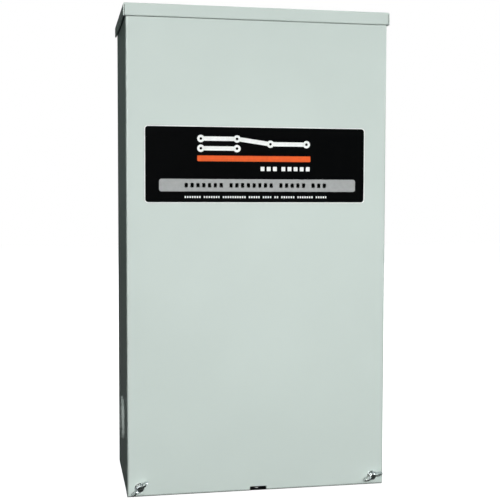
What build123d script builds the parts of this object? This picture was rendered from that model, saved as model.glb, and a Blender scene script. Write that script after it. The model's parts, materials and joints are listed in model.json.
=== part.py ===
from build123d import *
import os
from math import cos, radians, sin, sqrt

# Automatic transfer switch in a rainproof, wall-hung steel cabinet. All sizes are in millimetres.
#
# X runs to the right, Y into the wall and Z up. The origin is the centre of the cabinet's back face,
# which lies on the wall. Places inside are given as across, out, up: "out" is the distance from the
# wall towards the front, so a plane Plane.XZ.offset(out) faces the front, and y = -out.

os.makedirs("parts", exist_ok=True)

# ---------------------------------------------------------------- driving dimensions
WIDTH = 343.0  # across the front cover (13.5 in)
HEIGHT = 630.0  # top of the hood to the bottom of the cover
DEPTH = 181.0  # wall to the cover's face
SHEET = 1.6  # 16 gauge steel
BEND = 3.0  # outside radius of a folded corner
SLIP = 0.05  # radial clearance of a shaft or pin in its bore
GASKET = 4.0  # thickness of the pressed foam seal

# hood and hook hinge
LIP_HEIGHT = 16.4  # height of the hood's turned-down lip
LIP_PROUD = 1.5  # lip's face in front of the cover's face
HOOD_SIDE_PROUD = 3.0  # hood's side flange beyond the cover's side
BEAD_RADIUS = 2.2  # rolled bead along the lip's lower edge
HOOK_GAP = 0.3  # loose fit of the cover's hook on the bead
LIP_SEAM = 0.6  # open corner seam beside the lip

# cabinet box: its front rim is stepped in, so that the cover's flanges slip over it and lie flush
RIM_GAP = 0.5  # cover's side flange to the rim
RIM_FLOOR_GAP = 0.8  # cover's bottom flange to the rim
SEAM = 0.6  # rear edges of the cover's flanges to the step in the box
WALL_SCREW_SPACING = (254.0, 570.0)  # across, up (10 in wide pattern)
WALL_SCREW_RADIUS = 4.0  # clears a 5/16 in lag screw

# front cover
COVER_SIDE_FOLD = 15.0
COVER_BOTTOM_FOLD = 22.0
NOTCH_SIZE = (22.0, 6.0)  # padlock notch in the bottom edge
SHACKLE_RADIUS = 3.6  # hole for a 1/4 in padlock shackle
SHACKLE_OUT = DEPTH - 11.5
WING_X = 156.0  # wing screws, across
WING_UP = 12.5  # wing screws, above the cover's bottom
WING_SHANK = 3.0  # radius
WING_SHANK_LENGTH = 16.0
WING_WASHER = (6.2, 1.0)  # radius, thickness
WING_HUB = (4.6, 7.0)  # radius, height
WING_LOBE = (5.2, 4.6)  # half width and half height of each wing
WING_LOBE_AT = (8.2, 7.2)  # its centre, across and forward
WING_THICKNESS = 2.4

# nameplate
PLATE_SIZE = (290.5, 98.6)
PLATE_CENTRE = (-3.4, 113.2)
PLATE_CORNER = 5.0
PLATE_THICKNESS = 0.8

# conduit knockouts: rings half sheared from the sheet; outer and inner radius of each sunk ring
SIDE_KNOCKOUT = ((25.2, 21.9), (17.5, 11.1))  # 1 1/2, 1 1/4, 1 and 1/2 in trade sizes
FLOOR_KNOCKOUT = ((36.5, 31.3), (25.2, 17.5))  # 2 1/2, 2, 1 1/2 and 1 in trade sizes
KNOCKOUT_STEP = SHEET / 2
KNOCKOUT_OUT = 91.0
SIDE_KNOCKOUT_Z = -230.0
FLOOR_KNOCKOUT_X = 95.0
BOSS_FOOT = 30.0  # radius of the raised boss around a side knockout
BOSS_HEIGHT = 3.0

# inner mounting panel
PANEL_FACE = 18.0  # wall to the panel's front
PANEL_SIZE = (300.0, 520.0)
PANEL_SHEET = 2.0
STUD_SPACING = (270.0, 480.0)
STUD_RADIUS = 3.0
WASHER_THICKNESS = 1.2

# power column: service breaker above, transfer mechanism below
COLUMN_X = -25.0
POLE_HALF_PITCH = 40.0
POLES = (COLUMN_X - POLE_HALF_PITCH, COLUMN_X + POLE_HALF_PITCH)
BREAKER_SIZE = (118.0, 68.0, 150.0)
BREAKER_Z = 150.0
HANDLE_OUT = 72.0  # handle's pivot
HANDLE_TILT = 20.0  # handle leans up by this when on

# transfer mechanism
SHAFT_OUT = 95.0
SHAFT_Z = -40.0
SHAFT_TILT = 20.0  # contact arms lean up by this on utility, down by this on generator
SHAFT_SQUARE = 22.0
JOURNAL_RADIUS = 6.5
BASE_SIZE = (170.0, 12.0, 176.0)
BASE_FACE = PANEL_FACE + BASE_SIZE[1]
ARM_LENGTH = 50.0
ARM_SECTION = (12.0, 5.0)
PAD_REACH = 43.0
PAD_RADIUS = 5.0
PAD_THICKNESS = 2.0
PAD_GAP = 0.1
BAR = 4.0  # thickness of the copper bars
CRANK_REACH = 24.0
CRANK_PIN = 3.0
PLUNGER_X = -135.0
PLUNGER_RADIUS = 8.5
COIL_RADIUS = 18.0
COIL_HALF_GAP = 40.0  # mid height of the shaft to the near end of each winding
COIL_LENGTH = 44.0
FRAME_LEFT = -110.0  # outer face of the left side frame
FRAME_RIGHT = 60.0  # outer face of the right side frame
FRAME_THICKNESS = 4.0
LUG_SIZE = (22.0, 28.0, 24.0)
LUG_BORE = 8.0
LUG_SCREW = 6.0

# control column
CONTROL_X = 120.0
RELAY_Z = 150.0
FUSE_Z = 75.0
STRIP_Z = -50.0
STRIP_WAYS = 10
STRIP_PITCH = 12.0
STRIP_SIZE = (34.0, 10.0, STRIP_WAYS * STRIP_PITCH + 14)

# ---------------------------------------------------------------- worked-out places
BOTTOM = -HEIGHT / 2
TOP = HEIGHT / 2
COVER_BACK = DEPTH - SHEET
RIM_WIDTH = WIDTH - 2 * (SHEET + RIM_GAP)
RIM_DEPTH = COVER_BACK - GASKET
RIM_FLOOR = BOTTOM + SHEET + RIM_FLOOR_GAP
BOX_TOP = TOP - SHEET
SIDE_STEP_OUT = DEPTH - COVER_SIDE_FOLD - SEAM
FLOOR_STEP_OUT = DEPTH - COVER_BOTTOM_FOLD - SEAM
HOOD_WIDTH = WIDTH + 2 * HOOD_SIDE_PROUD
HOOD_DEPTH = DEPTH + LIP_PROUD
HOOD_BOTTOM = TOP - LIP_HEIGHT
LIP_WIDTH = HOOD_WIDTH - 2 * (SHEET + LIP_SEAM)
BEAD_OUT = HOOD_DEPTH - BEAD_RADIUS
BEAD_Z = HOOD_BOTTOM + BEAD_RADIUS
COVER_TOP = HOOD_BOTTOM - 0.6
WING_Z = BOTTOM + WING_UP
PIN_OUT = SHAFT_OUT - CRANK_REACH * (1 + cos(radians(SHAFT_TILT))) / 2
PLUNGER_LIFT = CRANK_REACH * sin(radians(SHAFT_TILT))

# how blocks stand on the face they are placed on
FORWARD = (Align.CENTER, Align.MAX, Align.CENTER)
FORWARD_AND_UP = (Align.CENTER, Align.MAX, Align.MIN)
FORWARD_AND_DOWN = (Align.CENTER, Align.MAX, Align.MAX)
STANDING = (Align.CENTER, Align.CENTER, Align.MIN)
HANGING = (Align.CENTER, Align.CENTER, Align.MAX)
ALONG_X = (0, 90, 0)
ALONG_Y = (90, 0, 0)


def at(across, out, up):
    """A place in the cabinet."""
    return (across, -out, up)


def from_shaft(reach, lift, tilt=SHAFT_TILT):
    """Out and up of a point along a shaft arm (reach) and square to it (lift)."""
    lean = radians(tilt)
    return (
        SHAFT_OUT - reach * cos(lean) + lift * sin(lean),
        SHAFT_Z + reach * sin(lean) + lift * cos(lean),
    )


def arm_plane(across, tilt=SHAFT_TILT):
    """Plane at the shaft: x square to the arm (lift), y along X, z along the arm (reach)."""
    lean = radians(tilt)
    return Plane(
        origin=at(across, SHAFT_OUT, SHAFT_Z),
        x_dir=(0, -sin(lean), cos(lean)),
        z_dir=(0, cos(lean), sin(lean)),
    )


def side_points(*points):
    """Out and up pairs as points of a sketch on a plane that faces along X."""
    return [(-out, up) for out, up in points]


def finish(piece, name):
    """Label a finished piece and write its file."""
    piece.part.label = name
    export_step(piece.part, f"parts/{name}.step")


# ---------------------------------------------------------------- cabinet shell
OPENING_SIDE = 14.0  # width of the rim's turned-in flanges
OPENING_TOP = BOX_TOP - 30
OPENING_BOTTOM = RIM_FLOOR + 28

# width, depth and floor height: the deep body, the body above its floor's step, and the front rim
BOX_BLOCKS = (
    (WIDTH, FLOOR_STEP_OUT, BOTTOM),
    (WIDTH, SIDE_STEP_OUT, RIM_FLOOR),
    (RIM_WIDTH, RIM_DEPTH, RIM_FLOOR),
)

with BuildPart() as enclosure_box:
    for width, depth, floor in BOX_BLOCKS:
        with Locations(at(0, 0, floor)):
            Box(width, depth, BOX_TOP - floor, align=FORWARD_AND_UP)
    uprights = enclosure_box.edges().filter_by(Axis.Z).group_by(Axis.Y)
    fillet(uprights[0] + uprights[-1], BEND)
    step_corners = uprights[1].group_by(Axis.X)
    fillet(step_corners[0] + step_corners[-1], BEND / 2)
    fillet(enclosure_box.faces().sort_by(Axis.Z)[0].edges(), BEND / 2)
    # cavity, open at the top, where the hood closes it
    for width, depth, floor in BOX_BLOCKS:
        with Locations(at(0, SHEET, floor + SHEET)):
            Box(
                width - 2 * SHEET,
                depth - 2 * SHEET,
                HEIGHT,
                align=FORWARD_AND_UP,
                mode=Mode.SUBTRACT,
            )
    # front opening inside the rim's flanges
    with BuildSketch(Plane.XZ.offset(RIM_DEPTH - SHEET)):
        with Locations((0, OPENING_BOTTOM)):
            Rectangle(
                RIM_WIDTH - 2 * (OPENING_SIDE + SHEET),
                OPENING_TOP - OPENING_BOTTOM,
                align=(Align.CENTER, Align.MIN),
            )
        fillet(vertices(), 4)
    extrude(amount=SHEET, mode=Mode.SUBTRACT)
    # four holes for the wall screws
    with BuildSketch(Plane.XZ):
        with GridLocations(*WALL_SCREW_SPACING, 2, 2):
            Circle(WALL_SCREW_RADIUS)
    extrude(amount=SHEET, mode=Mode.SUBTRACT)
    # wing screws and a padlock pass the rim's lower flange here
    with BuildSketch(Plane.XZ.offset(RIM_DEPTH - SHEET)):
        with Locations((-WING_X, WING_Z), (WING_X, WING_Z)):
            Circle(WING_SHANK + 1)
        with Locations((0, RIM_FLOOR)):
            Rectangle(NOTCH_SIZE[0], 9, align=(Align.CENTER, Align.MIN))
    extrude(amount=SHEET, mode=Mode.SUBTRACT)
    with Locations(at(0, SHACKLE_OUT, RIM_FLOOR)):
        Cylinder(SHACKLE_RADIUS, 4 * SHEET, mode=Mode.SUBTRACT)
    # a raised round boss low on each side, with the sheet kept at its thickness
    side_faces = [
        Plane(
            origin=at(side * WIDTH / 2, KNOCKOUT_OUT, SIDE_KNOCKOUT_Z),
            x_dir=(0, 1, 0),
            z_dir=(side, 0, 0),
        )
        for side in (-1, 1)
    ]
    floor_faces = [
        Plane(origin=at(across, KNOCKOUT_OUT, BOTTOM), x_dir=(1, 0, 0), z_dir=(0, 0, -1))
        for across in (-FLOOR_KNOCKOUT_X, FLOOR_KNOCKOUT_X)
    ]
    for side_face in side_faces:
        with BuildSketch(side_face):
            Circle(BOSS_FOOT)
        extrude(amount=BOSS_HEIGHT, taper=45)
        with BuildSketch(side_face.offset(-SHEET)):
            Circle(BOSS_FOOT - SHEET * (sqrt(2) - 1))
        extrude(amount=BOSS_HEIGHT, taper=45, mode=Mode.SUBTRACT)
    # concentric knockouts in the bosses and in the floor
    knockouts = [(face.offset(BOSS_HEIGHT), SIDE_KNOCKOUT) for face in side_faces]
    knockouts += [(face, FLOOR_KNOCKOUT) for face in floor_faces]
    for outer_face, rings in knockouts:
        for ring_outer, ring_inner in rings:
            with BuildSketch(outer_face):
                Circle(ring_outer)
                Circle(ring_inner, mode=Mode.SUBTRACT)
            extrude(amount=-KNOCKOUT_STEP, mode=Mode.SUBTRACT)
            with BuildSketch(outer_face.offset(-SHEET)):
                Circle(ring_outer + 0.4)
                Circle(ring_inner - 0.4, mode=Mode.SUBTRACT)
            extrude(amount=-KNOCKOUT_STEP)

with BuildPart() as rain_hood:
    with Locations(at(0, 0, HOOD_BOTTOM)):
        Box(HOOD_WIDTH, HOOD_DEPTH, LIP_HEIGHT, align=FORWARD_AND_UP)
    fillet(rain_hood.faces().sort_by(Axis.Z)[-1].edges().sort_by(Axis.Y)[:-1], BEND)
    with Locations(at(0, 0, HOOD_BOTTOM)):
        Box(
            HOOD_WIDTH - 2 * SHEET,
            HOOD_DEPTH - SHEET,
            LIP_HEIGHT - SHEET,
            align=FORWARD_AND_UP,
            mode=Mode.SUBTRACT,
        )
    # round the rear lower corners of the side flanges
    rear_edges = rain_hood.edges().filter_by(Axis.X).group_by(Axis.Y)[-1].group_by(Axis.Z)[0]
    fillet(rear_edges, 5)
    # open seams where the lip meets the side flanges
    with Locations(
        at(-LIP_WIDTH / 2 - LIP_SEAM / 2, HOOD_DEPTH - SHEET, HOOD_BOTTOM),
        at(LIP_WIDTH / 2 + LIP_SEAM / 2, HOOD_DEPTH - SHEET, HOOD_BOTTOM),
    ):
        Box(LIP_SEAM, 2 * SHEET, LIP_HEIGHT - BEND, align=FORWARD_AND_UP, mode=Mode.SUBTRACT)
    # rolled bead that the cover's hook hangs on
    with Locations(at(0, HOOD_DEPTH - 2 * SHEET, HOOD_BOTTOM)):
        Box(LIP_WIDTH, 3 * SHEET, BEAD_RADIUS, align=FORWARD_AND_UP, mode=Mode.SUBTRACT)
    with Locations(at(0, BEAD_OUT, BEAD_Z)):
        Cylinder(BEAD_RADIUS, LIP_WIDTH, rotation=ALONG_X)

CLIP_OUT = RIM_DEPTH - SHEET  # the clips sit behind the rim's lower flange
CLIP_PLATE = (17.0, 1.0, 15.0)
CLIP_BARREL = (5.6, 6.0)  # radius, length

with BuildPart() as clip_nuts:
    for across in (-WING_X, WING_X):
        with Locations(at(across, CLIP_OUT, WING_Z + 1)):
            Box(*CLIP_PLATE, align=(Align.CENTER, Align.MIN, Align.CENTER))
        with Locations(at(across, CLIP_OUT - 4, WING_Z)):
            Cylinder(*CLIP_BARREL, rotation=ALONG_Y)
            Cylinder(WING_SHANK + 0.7, 2 * CLIP_BARREL[1], rotation=ALONG_Y, mode=Mode.SUBTRACT)

# ---------------------------------------------------------------- front cover
with BuildPart() as front_cover:
    with Locations(at(0, DEPTH - COVER_BOTTOM_FOLD, BOTTOM)):
        Box(WIDTH, COVER_BOTTOM_FOLD, COVER_TOP - BOTTOM, align=FORWARD_AND_UP)
    front_edges = front_cover.faces().sort_by(Axis.Y)[0].edges()
    fillet(front_edges.sort_by(Axis.Z)[:-1], BEND)
    with Locations(at(0, DEPTH - COVER_BOTTOM_FOLD, BOTTOM + SHEET)):
        Box(
            WIDTH - 2 * SHEET,
            COVER_BOTTOM_FOLD - SHEET,
            HEIGHT,
            align=FORWARD_AND_UP,
            mode=Mode.SUBTRACT,
        )
    # the side flanges are shallower than the bottom one
    with Locations(at(0, DEPTH - COVER_BOTTOM_FOLD, BOTTOM + SHEET)):
        Box(
            2 * WIDTH,
            COVER_BOTTOM_FOLD - COVER_SIDE_FOLD,
            HEIGHT,
            align=FORWARD_AND_UP,
            mode=Mode.SUBTRACT,
        )
    # hook that hangs on the hood's bead
    with BuildSketch(Plane.YZ):
        with BuildLine():
            inner = CenterArc((-BEAD_OUT, BEAD_Z), BEAD_RADIUS + HOOK_GAP, -90, 150)
            outer = CenterArc((-BEAD_OUT, BEAD_Z), BEAD_RADIUS + HOOK_GAP + SHEET, -90, 150)
            Line(inner @ 0, outer @ 0)
            Line(inner @ 1, outer @ 1)
        make_face()
    extrude(amount=LIP_WIDTH / 2 - 2, both=True)
    # padlock notch and shackle hole, wing screw holes
    with BuildSketch(Plane.XZ.offset(DEPTH - BEND)):
        with Locations((0, BOTTOM)):
            Rectangle(*NOTCH_SIZE, align=(Align.CENTER, Align.MIN))
    extrude(amount=BEND, mode=Mode.SUBTRACT)
    with BuildSketch(Plane.XZ.offset(COVER_BACK)):
        with Locations((-WING_X, WING_Z), (WING_X, WING_Z)):
            Circle(WING_SHANK + SLIP)
    extrude(amount=SHEET, mode=Mode.SUBTRACT)
    with Locations(at(0, SHACKLE_OUT, BOTTOM)):
        Cylinder(SHACKLE_RADIUS, 4 * SHEET, mode=Mode.SUBTRACT)

GASKET_OUTLINE = (334.0, 591.0)
GASKET_WIDTH = 9.0
GASKET_BOTTOM = BOTTOM + 18

with BuildPart() as cover_gasket:
    with BuildSketch(Plane.XZ.offset(RIM_DEPTH)):
        with Locations((0, GASKET_BOTTOM + GASKET_OUTLINE[1] / 2)):
            Rectangle(*GASKET_OUTLINE)
            offset(amount=-GASKET_WIDTH, kind=Kind.INTERSECTION, mode=Mode.SUBTRACT)
    extrude(amount=GASKET)

with BuildPart() as nameplate:
    with BuildSketch(Plane.XZ.offset(DEPTH)):
        with Locations(PLATE_CENTRE):
            RectangleRounded(*PLATE_SIZE, radius=PLATE_CORNER)
    extrude(amount=PLATE_THICKNESS)

# Each wing screw: washer, hub, two wings that sweep forward, and a shank through the cover.
wing_screws = {}
for screw_name, side, turned in (("wing_screw_left", -1, 40.0), ("wing_screw_right", 1, 21.0)):
    face = Plane(
        origin=at(side * WING_X, DEPTH, WING_Z),
        x_dir=(cos(radians(turned)), 0, sin(radians(turned))),
        z_dir=(0, -1, 0),
    )
    with BuildPart(face) as wing_screw:
        Cylinder(*WING_WASHER, align=STANDING)
        Cylinder(*WING_HUB, align=STANDING)
        Cylinder(WING_SHANK, WING_SHANK_LENGTH, align=HANGING)
        # local x runs along the wings, local -y forward
        with BuildSketch(Plane(origin=face.origin, x_dir=face.x_dir, z_dir=face.y_dir)):
            with Locations(*[(way * WING_LOBE_AT[0], -WING_LOBE_AT[1]) for way in (-1, 1)]):
                Ellipse(*WING_LOBE)
            with Locations((0, -4)):
                Rectangle(14, 4.5)
        extrude(amount=WING_THICKNESS / 2, both=True)
    wing_screws[screw_name] = wing_screw

# ---------------------------------------------------------------- mounting panel
with BuildPart() as mounting_panel:
    with Locations(at(0, SHEET, 0)):
        Box(PANEL_SIZE[0], PANEL_FACE - SHEET, PANEL_SIZE[1], align=FORWARD)
    fillet(mounting_panel.faces().sort_by(Axis.Y)[0].edges().filter_by(Axis.Z), BEND)
    with Locations(at(0, SHEET, 0)):
        Box(
            PANEL_SIZE[0] - 2 * PANEL_SHEET,
            PANEL_FACE - SHEET - PANEL_SHEET,
            PANEL_SIZE[1],
            align=FORWARD,
            mode=Mode.SUBTRACT,
        )
    with BuildSketch(Plane.XZ.offset(PANEL_FACE - PANEL_SHEET)):
        with GridLocations(*STUD_SPACING, 2, 2):
            Circle(STUD_RADIUS + 0.4)
    extrude(amount=PANEL_SHEET, mode=Mode.SUBTRACT)

with BuildPart() as panel_studs:
    with BuildSketch(Plane.XZ.offset(SHEET)):
        with GridLocations(*STUD_SPACING, 2, 2):
            Circle(2 * STUD_RADIUS)
    extrude(amount=WASHER_THICKNESS)
    with BuildSketch(Plane.XZ.offset(SHEET)):
        with GridLocations(*STUD_SPACING, 2, 2):
            Circle(STUD_RADIUS)
    extrude(amount=25)
    chamfer(panel_studs.edges().group_by(Axis.Y)[0], 0.6)

with BuildPart() as panel_nuts:
    with BuildSketch(Plane.XZ.offset(PANEL_FACE)):
        with GridLocations(*STUD_SPACING, 2, 2):
            Circle(6.5)
            Circle(STUD_RADIUS + SLIP, mode=Mode.SUBTRACT)
    extrude(amount=WASHER_THICKNESS)
    with BuildSketch(Plane.XZ.offset(PANEL_FACE + WASHER_THICKNESS)):
        with GridLocations(*STUD_SPACING, 2, 2):
            RegularPolygon(5.8, 6)
            Circle(STUD_RADIUS + SLIP, mode=Mode.SUBTRACT)
    extrude(amount=5)

# ---------------------------------------------------------------- service breaker
BREAKER_FACE = PANEL_FACE + BREAKER_SIZE[1]
BREAKER_TOP = BREAKER_Z + BREAKER_SIZE[2] / 2
BREAKER_BOTTOM = BREAKER_Z - BREAKER_SIZE[2] / 2
POCKET = (30.0, 40.0, 28.0)
POCKET_OUT = PANEL_FACE + 28
NOSE = (96.0, 12.0, 62.0)
HANDLE_PIVOT = (3.0, 42.0)  # radius, length
HANDLE_DRUM = (13.5, 26.0)
CHAMBER = (15.0, 28.0)  # radius, length of the handle's chamber
GUARD_SIZE = (140.0, 82.0, 62.0)
GUARD_WALL = 1.5

with BuildPart() as breaker_case:
    with Locations(at(COLUMN_X, PANEL_FACE, BREAKER_Z)):
        Box(*BREAKER_SIZE, align=FORWARD)
    fillet(breaker_case.faces().sort_by(Axis.Y)[0].edges(), 2)
    with Locations(at(COLUMN_X, BREAKER_FACE, BREAKER_Z)):
        Box(*NOSE, align=FORWARD)
    fillet(breaker_case.faces().sort_by(Axis.Y)[0].edges(), 1.5)
    # terminal pockets, open at the front and at the case's ends
    for pole in POLES:
        with Locations(at(pole, POCKET_OUT, BREAKER_TOP)):
            Box(*POCKET, align=FORWARD_AND_DOWN, mode=Mode.SUBTRACT)
        with Locations(at(pole, POCKET_OUT, BREAKER_BOTTOM)):
            Box(*POCKET, align=FORWARD_AND_UP, mode=Mode.SUBTRACT)
    # seam between the two poles
    with Locations(*[at(COLUMN_X, BREAKER_FACE - 1, end) for end in (BREAKER_TOP, BREAKER_BOTTOM)]):
        Box(1, 1, 60, align=FORWARD, mode=Mode.SUBTRACT)
    # handle's chamber, slot and pivot bore
    with Locations(at(COLUMN_X, HANDLE_OUT, BREAKER_Z)):
        Cylinder(*CHAMBER, rotation=ALONG_X, mode=Mode.SUBTRACT)
        Cylinder(HANDLE_PIVOT[0] + SLIP, HANDLE_PIVOT[1] + 2, rotation=ALONG_X, mode=Mode.SUBTRACT)
        Box(CHAMBER[1], 40, 35, align=FORWARD, mode=Mode.SUBTRACT)

with BuildPart() as breaker_handle:
    with Locations(at(COLUMN_X, HANDLE_OUT, BREAKER_Z)):
        Cylinder(*HANDLE_PIVOT, rotation=ALONG_X)
        Cylinder(*HANDLE_DRUM, rotation=ALONG_X)
    toggle = Plane(
        origin=at(COLUMN_X, HANDLE_OUT, BREAKER_Z),
        x_dir=(1, 0, 0),
        z_dir=(0, -cos(radians(HANDLE_TILT)), sin(radians(HANDLE_TILT))),
    )
    with BuildSketch(toggle.offset(10)):
        Rectangle(24, 10)
    with BuildSketch(toggle.offset(38)):
        Rectangle(20, 7)
    loft()
    fillet(breaker_handle.faces().sort_by(Axis.Y)[0].edges(), 1)

with BuildPart() as line_lug_guard:
    with Locations(at(COLUMN_X, PANEL_FACE, BREAKER_TOP - 30)):
        Box(*GUARD_SIZE, align=FORWARD_AND_UP)
    fillet(line_lug_guard.faces().sort_by(Axis.Y)[0].edges().filter_by(Axis.Z), 4)
    with Locations(at(COLUMN_X, PANEL_FACE, BREAKER_TOP - 30)):
        Box(
            GUARD_SIZE[0] - 2 * GUARD_WALL,
            GUARD_SIZE[1] - GUARD_WALL,
            GUARD_SIZE[2],
            align=FORWARD_AND_UP,
            mode=Mode.SUBTRACT,
        )

# ---------------------------------------------------------------- bare copper and terminal lugs
LINE_LUG_OUT = POCKET_OUT
LINE_LUG_Z = BREAKER_TOP - 2
SWITCH_LUG_TOP = SHAFT_Z - BASE_SIZE[2] / 2 + 24
LOAD_OFFSET = 26.0  # each pole's load lug sits this far right of its generator lug

# two line lugs in the breaker's top pockets, four generator and load lugs below the switch
lug_places = [at(pole, LINE_LUG_OUT, LINE_LUG_Z) for pole in POLES]
lug_places += [
    at(pole + offset, BASE_FACE + BAR, SWITCH_LUG_TOP) for pole in POLES for offset in (0, LOAD_OFFSET)
]


def lug_bore_places(places):
    """Centres of the cable bores of lugs that stand at these places."""
    return [(x, y - LUG_SIZE[1] * 0.45, z - LUG_SIZE[2] / 2) for x, y, z in places]


def lug_screw_places(places):
    """Centres of the lugs' front faces."""
    return [(x, y - LUG_SIZE[1], z - LUG_SIZE[2] / 2) for x, y, z in places]


with BuildPart() as terminal_lugs:
    with Locations(*lug_places):
        Box(*LUG_SIZE, align=FORWARD_AND_DOWN)
    chamfer(terminal_lugs.edges().filter_by(Axis.Z), 1.5)
    with Locations(*lug_bore_places(lug_places)):
        Cylinder(LUG_BORE, LUG_SIZE[2], mode=Mode.SUBTRACT)
    with Locations(*lug_screw_places(lug_places)):
        Cylinder(LUG_SCREW + SLIP, 20, rotation=ALONG_Y, mode=Mode.SUBTRACT)

LUG_SCREW_LENGTH = 12.0

with BuildPart() as lug_set_screws:
    with Locations(*lug_screw_places(lug_places)):
        Cylinder(LUG_SCREW, LUG_SCREW_LENGTH, rotation=ALONG_Y)
    for x, y, z in lug_screw_places(lug_places):
        screw_end = Plane(origin=(x, y - LUG_SCREW_LENGTH / 2, z), x_dir=(1, 0, 0), z_dir=(0, -1, 0))
        with BuildSketch(screw_end):
            RegularPolygon(3.2, 6)
        extrude(amount=-5, mode=Mode.SUBTRACT)

# the fixed bars' inner ends run parallel to a closed arm, two contact pads away from it
BAR_OUT = BASE_FACE + BAR / 2
BAR_WIDTH = 16.0
BAR_LIFT = ARM_SECTION[1] / 2 + 2 * PAD_THICKNESS + PAD_GAP + BAR / 2
TURN_REACH = (SHAFT_OUT - BAR_OUT + BAR_LIFT * sin(radians(SHAFT_TILT))) / cos(radians(SHAFT_TILT))
UTILITY_TURN = from_shaft(TURN_REACH, BAR_LIFT)
UTILITY_TIP = from_shaft(32.0, BAR_LIFT)


def mirrored(point):
    """The same point on the other side of the shaft's height."""
    return (point[0], 2 * SHAFT_Z - point[1])


with BuildPart() as utility_bus_bars:
    for pole in POLES:
        with BuildSketch(Plane.YZ.offset(pole)):
            with BuildLine():
                FilletPolyline(
                    *side_points(
                        (LINE_LUG_OUT + 14, BREAKER_BOTTOM + 24),
                        (LINE_LUG_OUT + 14, BREAKER_BOTTOM - 6),
                        (BAR_OUT, 42),
                        UTILITY_TURN,
                        UTILITY_TIP,
                    ),
                    radius=3,
                )
            trace(line_width=BAR)
        extrude(amount=BAR_WIDTH / 2, both=True)

with BuildPart() as generator_bus_bars:
    for pole in POLES:
        with BuildSketch(Plane.YZ.offset(pole)):
            with BuildLine():
                FilletPolyline(
                    *side_points(
                        (BAR_OUT, SWITCH_LUG_TOP - LUG_SIZE[2]),
                        mirrored(UTILITY_TURN),
                        mirrored(UTILITY_TIP),
                    ),
                    radius=3,
                )
            trace(line_width=BAR)
        extrude(amount=BAR_WIDTH / 2, both=True)

LOAD_BAR_TOP = SHAFT_Z - 38
BRAID = 3.0  # thickness of the flexible braids

with BuildPart() as load_bus_bars:
    with Locations(*[at(pole + LOAD_OFFSET, BASE_FACE, LOAD_BAR_TOP) for pole in POLES]):
        Box(12, BAR, LOAD_BAR_TOP - SWITCH_LUG_TOP + LUG_SIZE[2], align=FORWARD_AND_DOWN)

with BuildPart() as load_braids:
    for pole in POLES:
        with BuildSketch(Plane.YZ.offset(pole + LOAD_OFFSET)):
            with BuildLine():
                FilletPolyline(
                    *side_points(
                        (BASE_FACE + BAR + BRAID / 2, LOAD_BAR_TOP - 18),
                        (BASE_FACE + BAR + BRAID / 2, LOAD_BAR_TOP + 6),
                        (SHAFT_OUT - 30, SHAFT_Z - 34),
                        (SHAFT_OUT - 20, SHAFT_Z - 14),
                    ),
                    radius=8,
                )
            trace(line_width=BRAID)
        extrude(amount=5, both=True)

# ---------------------------------------------------------------- transfer mechanism: fixed parts
BASE_SCREW = 2.5  # radius
BASE_SCREW_HEAD = (4.8, 3.0)  # radius, height
BASE_SCREW_SPACING = (BASE_SIZE[0] - 14, BASE_SIZE[2] - 14)

with BuildPart() as switch_base:
    with Locations(at(COLUMN_X, PANEL_FACE, SHAFT_Z)):
        Box(*BASE_SIZE, align=FORWARD)
    fillet(switch_base.edges().filter_by(Axis.Y), 5)
    with BuildSketch(Plane.XZ.offset(PANEL_FACE)):
        with Locations((COLUMN_X, SHAFT_Z)):
            with GridLocations(*BASE_SCREW_SPACING, 2, 2):
                Circle(BASE_SCREW + 0.2)
    extrude(amount=BASE_SIZE[1], mode=Mode.SUBTRACT)

with BuildPart() as base_screws:
    with BuildSketch(Plane.XZ.offset(PANEL_FACE)):
        with Locations((COLUMN_X, SHAFT_Z)):
            with GridLocations(*BASE_SCREW_SPACING, 2, 2):
                Circle(BASE_SCREW)
    extrude(amount=BASE_SIZE[1])
    with BuildSketch(Plane.XZ.offset(BASE_FACE)):
        with Locations((COLUMN_X, SHAFT_Z)):
            with GridLocations(*BASE_SCREW_SPACING, 2, 2):
                Circle(BASE_SCREW_HEAD[0])
    extrude(amount=BASE_SCREW_HEAD[1])
    fillet(base_screws.edges().group_by(Axis.Y)[0], 1)
    with BuildSketch(Plane.XZ.offset(BASE_FACE + BASE_SCREW_HEAD[1])):
        with Locations((COLUMN_X, SHAFT_Z)):
            with GridLocations(*BASE_SCREW_SPACING, 2, 2):
                Rectangle(6.4, 1.1)
                Rectangle(1.1, 6.4)
    extrude(amount=-1.4, mode=Mode.SUBTRACT)

FRAME_FOOT = 42.0  # half height of a side frame at its foot
FRAME_HEAD = 16.0  # half height around the bearing

side_frames = {}
for frame_name, inner_face, direction in (
    ("left_side_frame", FRAME_LEFT + FRAME_THICKNESS, -1),
    ("right_side_frame", FRAME_RIGHT - FRAME_THICKNESS, 1),
):
    with BuildPart() as side_frame:
        with BuildSketch(Plane.YZ.offset(inner_face)):
            with BuildLine():
                Polyline(
                    *side_points(
                        (BASE_FACE, SHAFT_Z - FRAME_FOOT),
                        (SHAFT_OUT - 10, SHAFT_Z - FRAME_HEAD),
                        (SHAFT_OUT + 14, SHAFT_Z - FRAME_HEAD),
                        (SHAFT_OUT + 14, SHAFT_Z + FRAME_HEAD),
                        (SHAFT_OUT - 10, SHAFT_Z + FRAME_HEAD),
                        (BASE_FACE, SHAFT_Z + FRAME_FOOT),
                    ),
                    close=True,
                )
            make_face()
            fillet(vertices().group_by(Axis.X)[0], 6)
            with Locations((-SHAFT_OUT, SHAFT_Z)):
                Circle(JOURNAL_RADIUS + SLIP, mode=Mode.SUBTRACT)
        extrude(amount=direction * FRAME_THICKNESS)
    side_frames[frame_name] = side_frame

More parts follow.
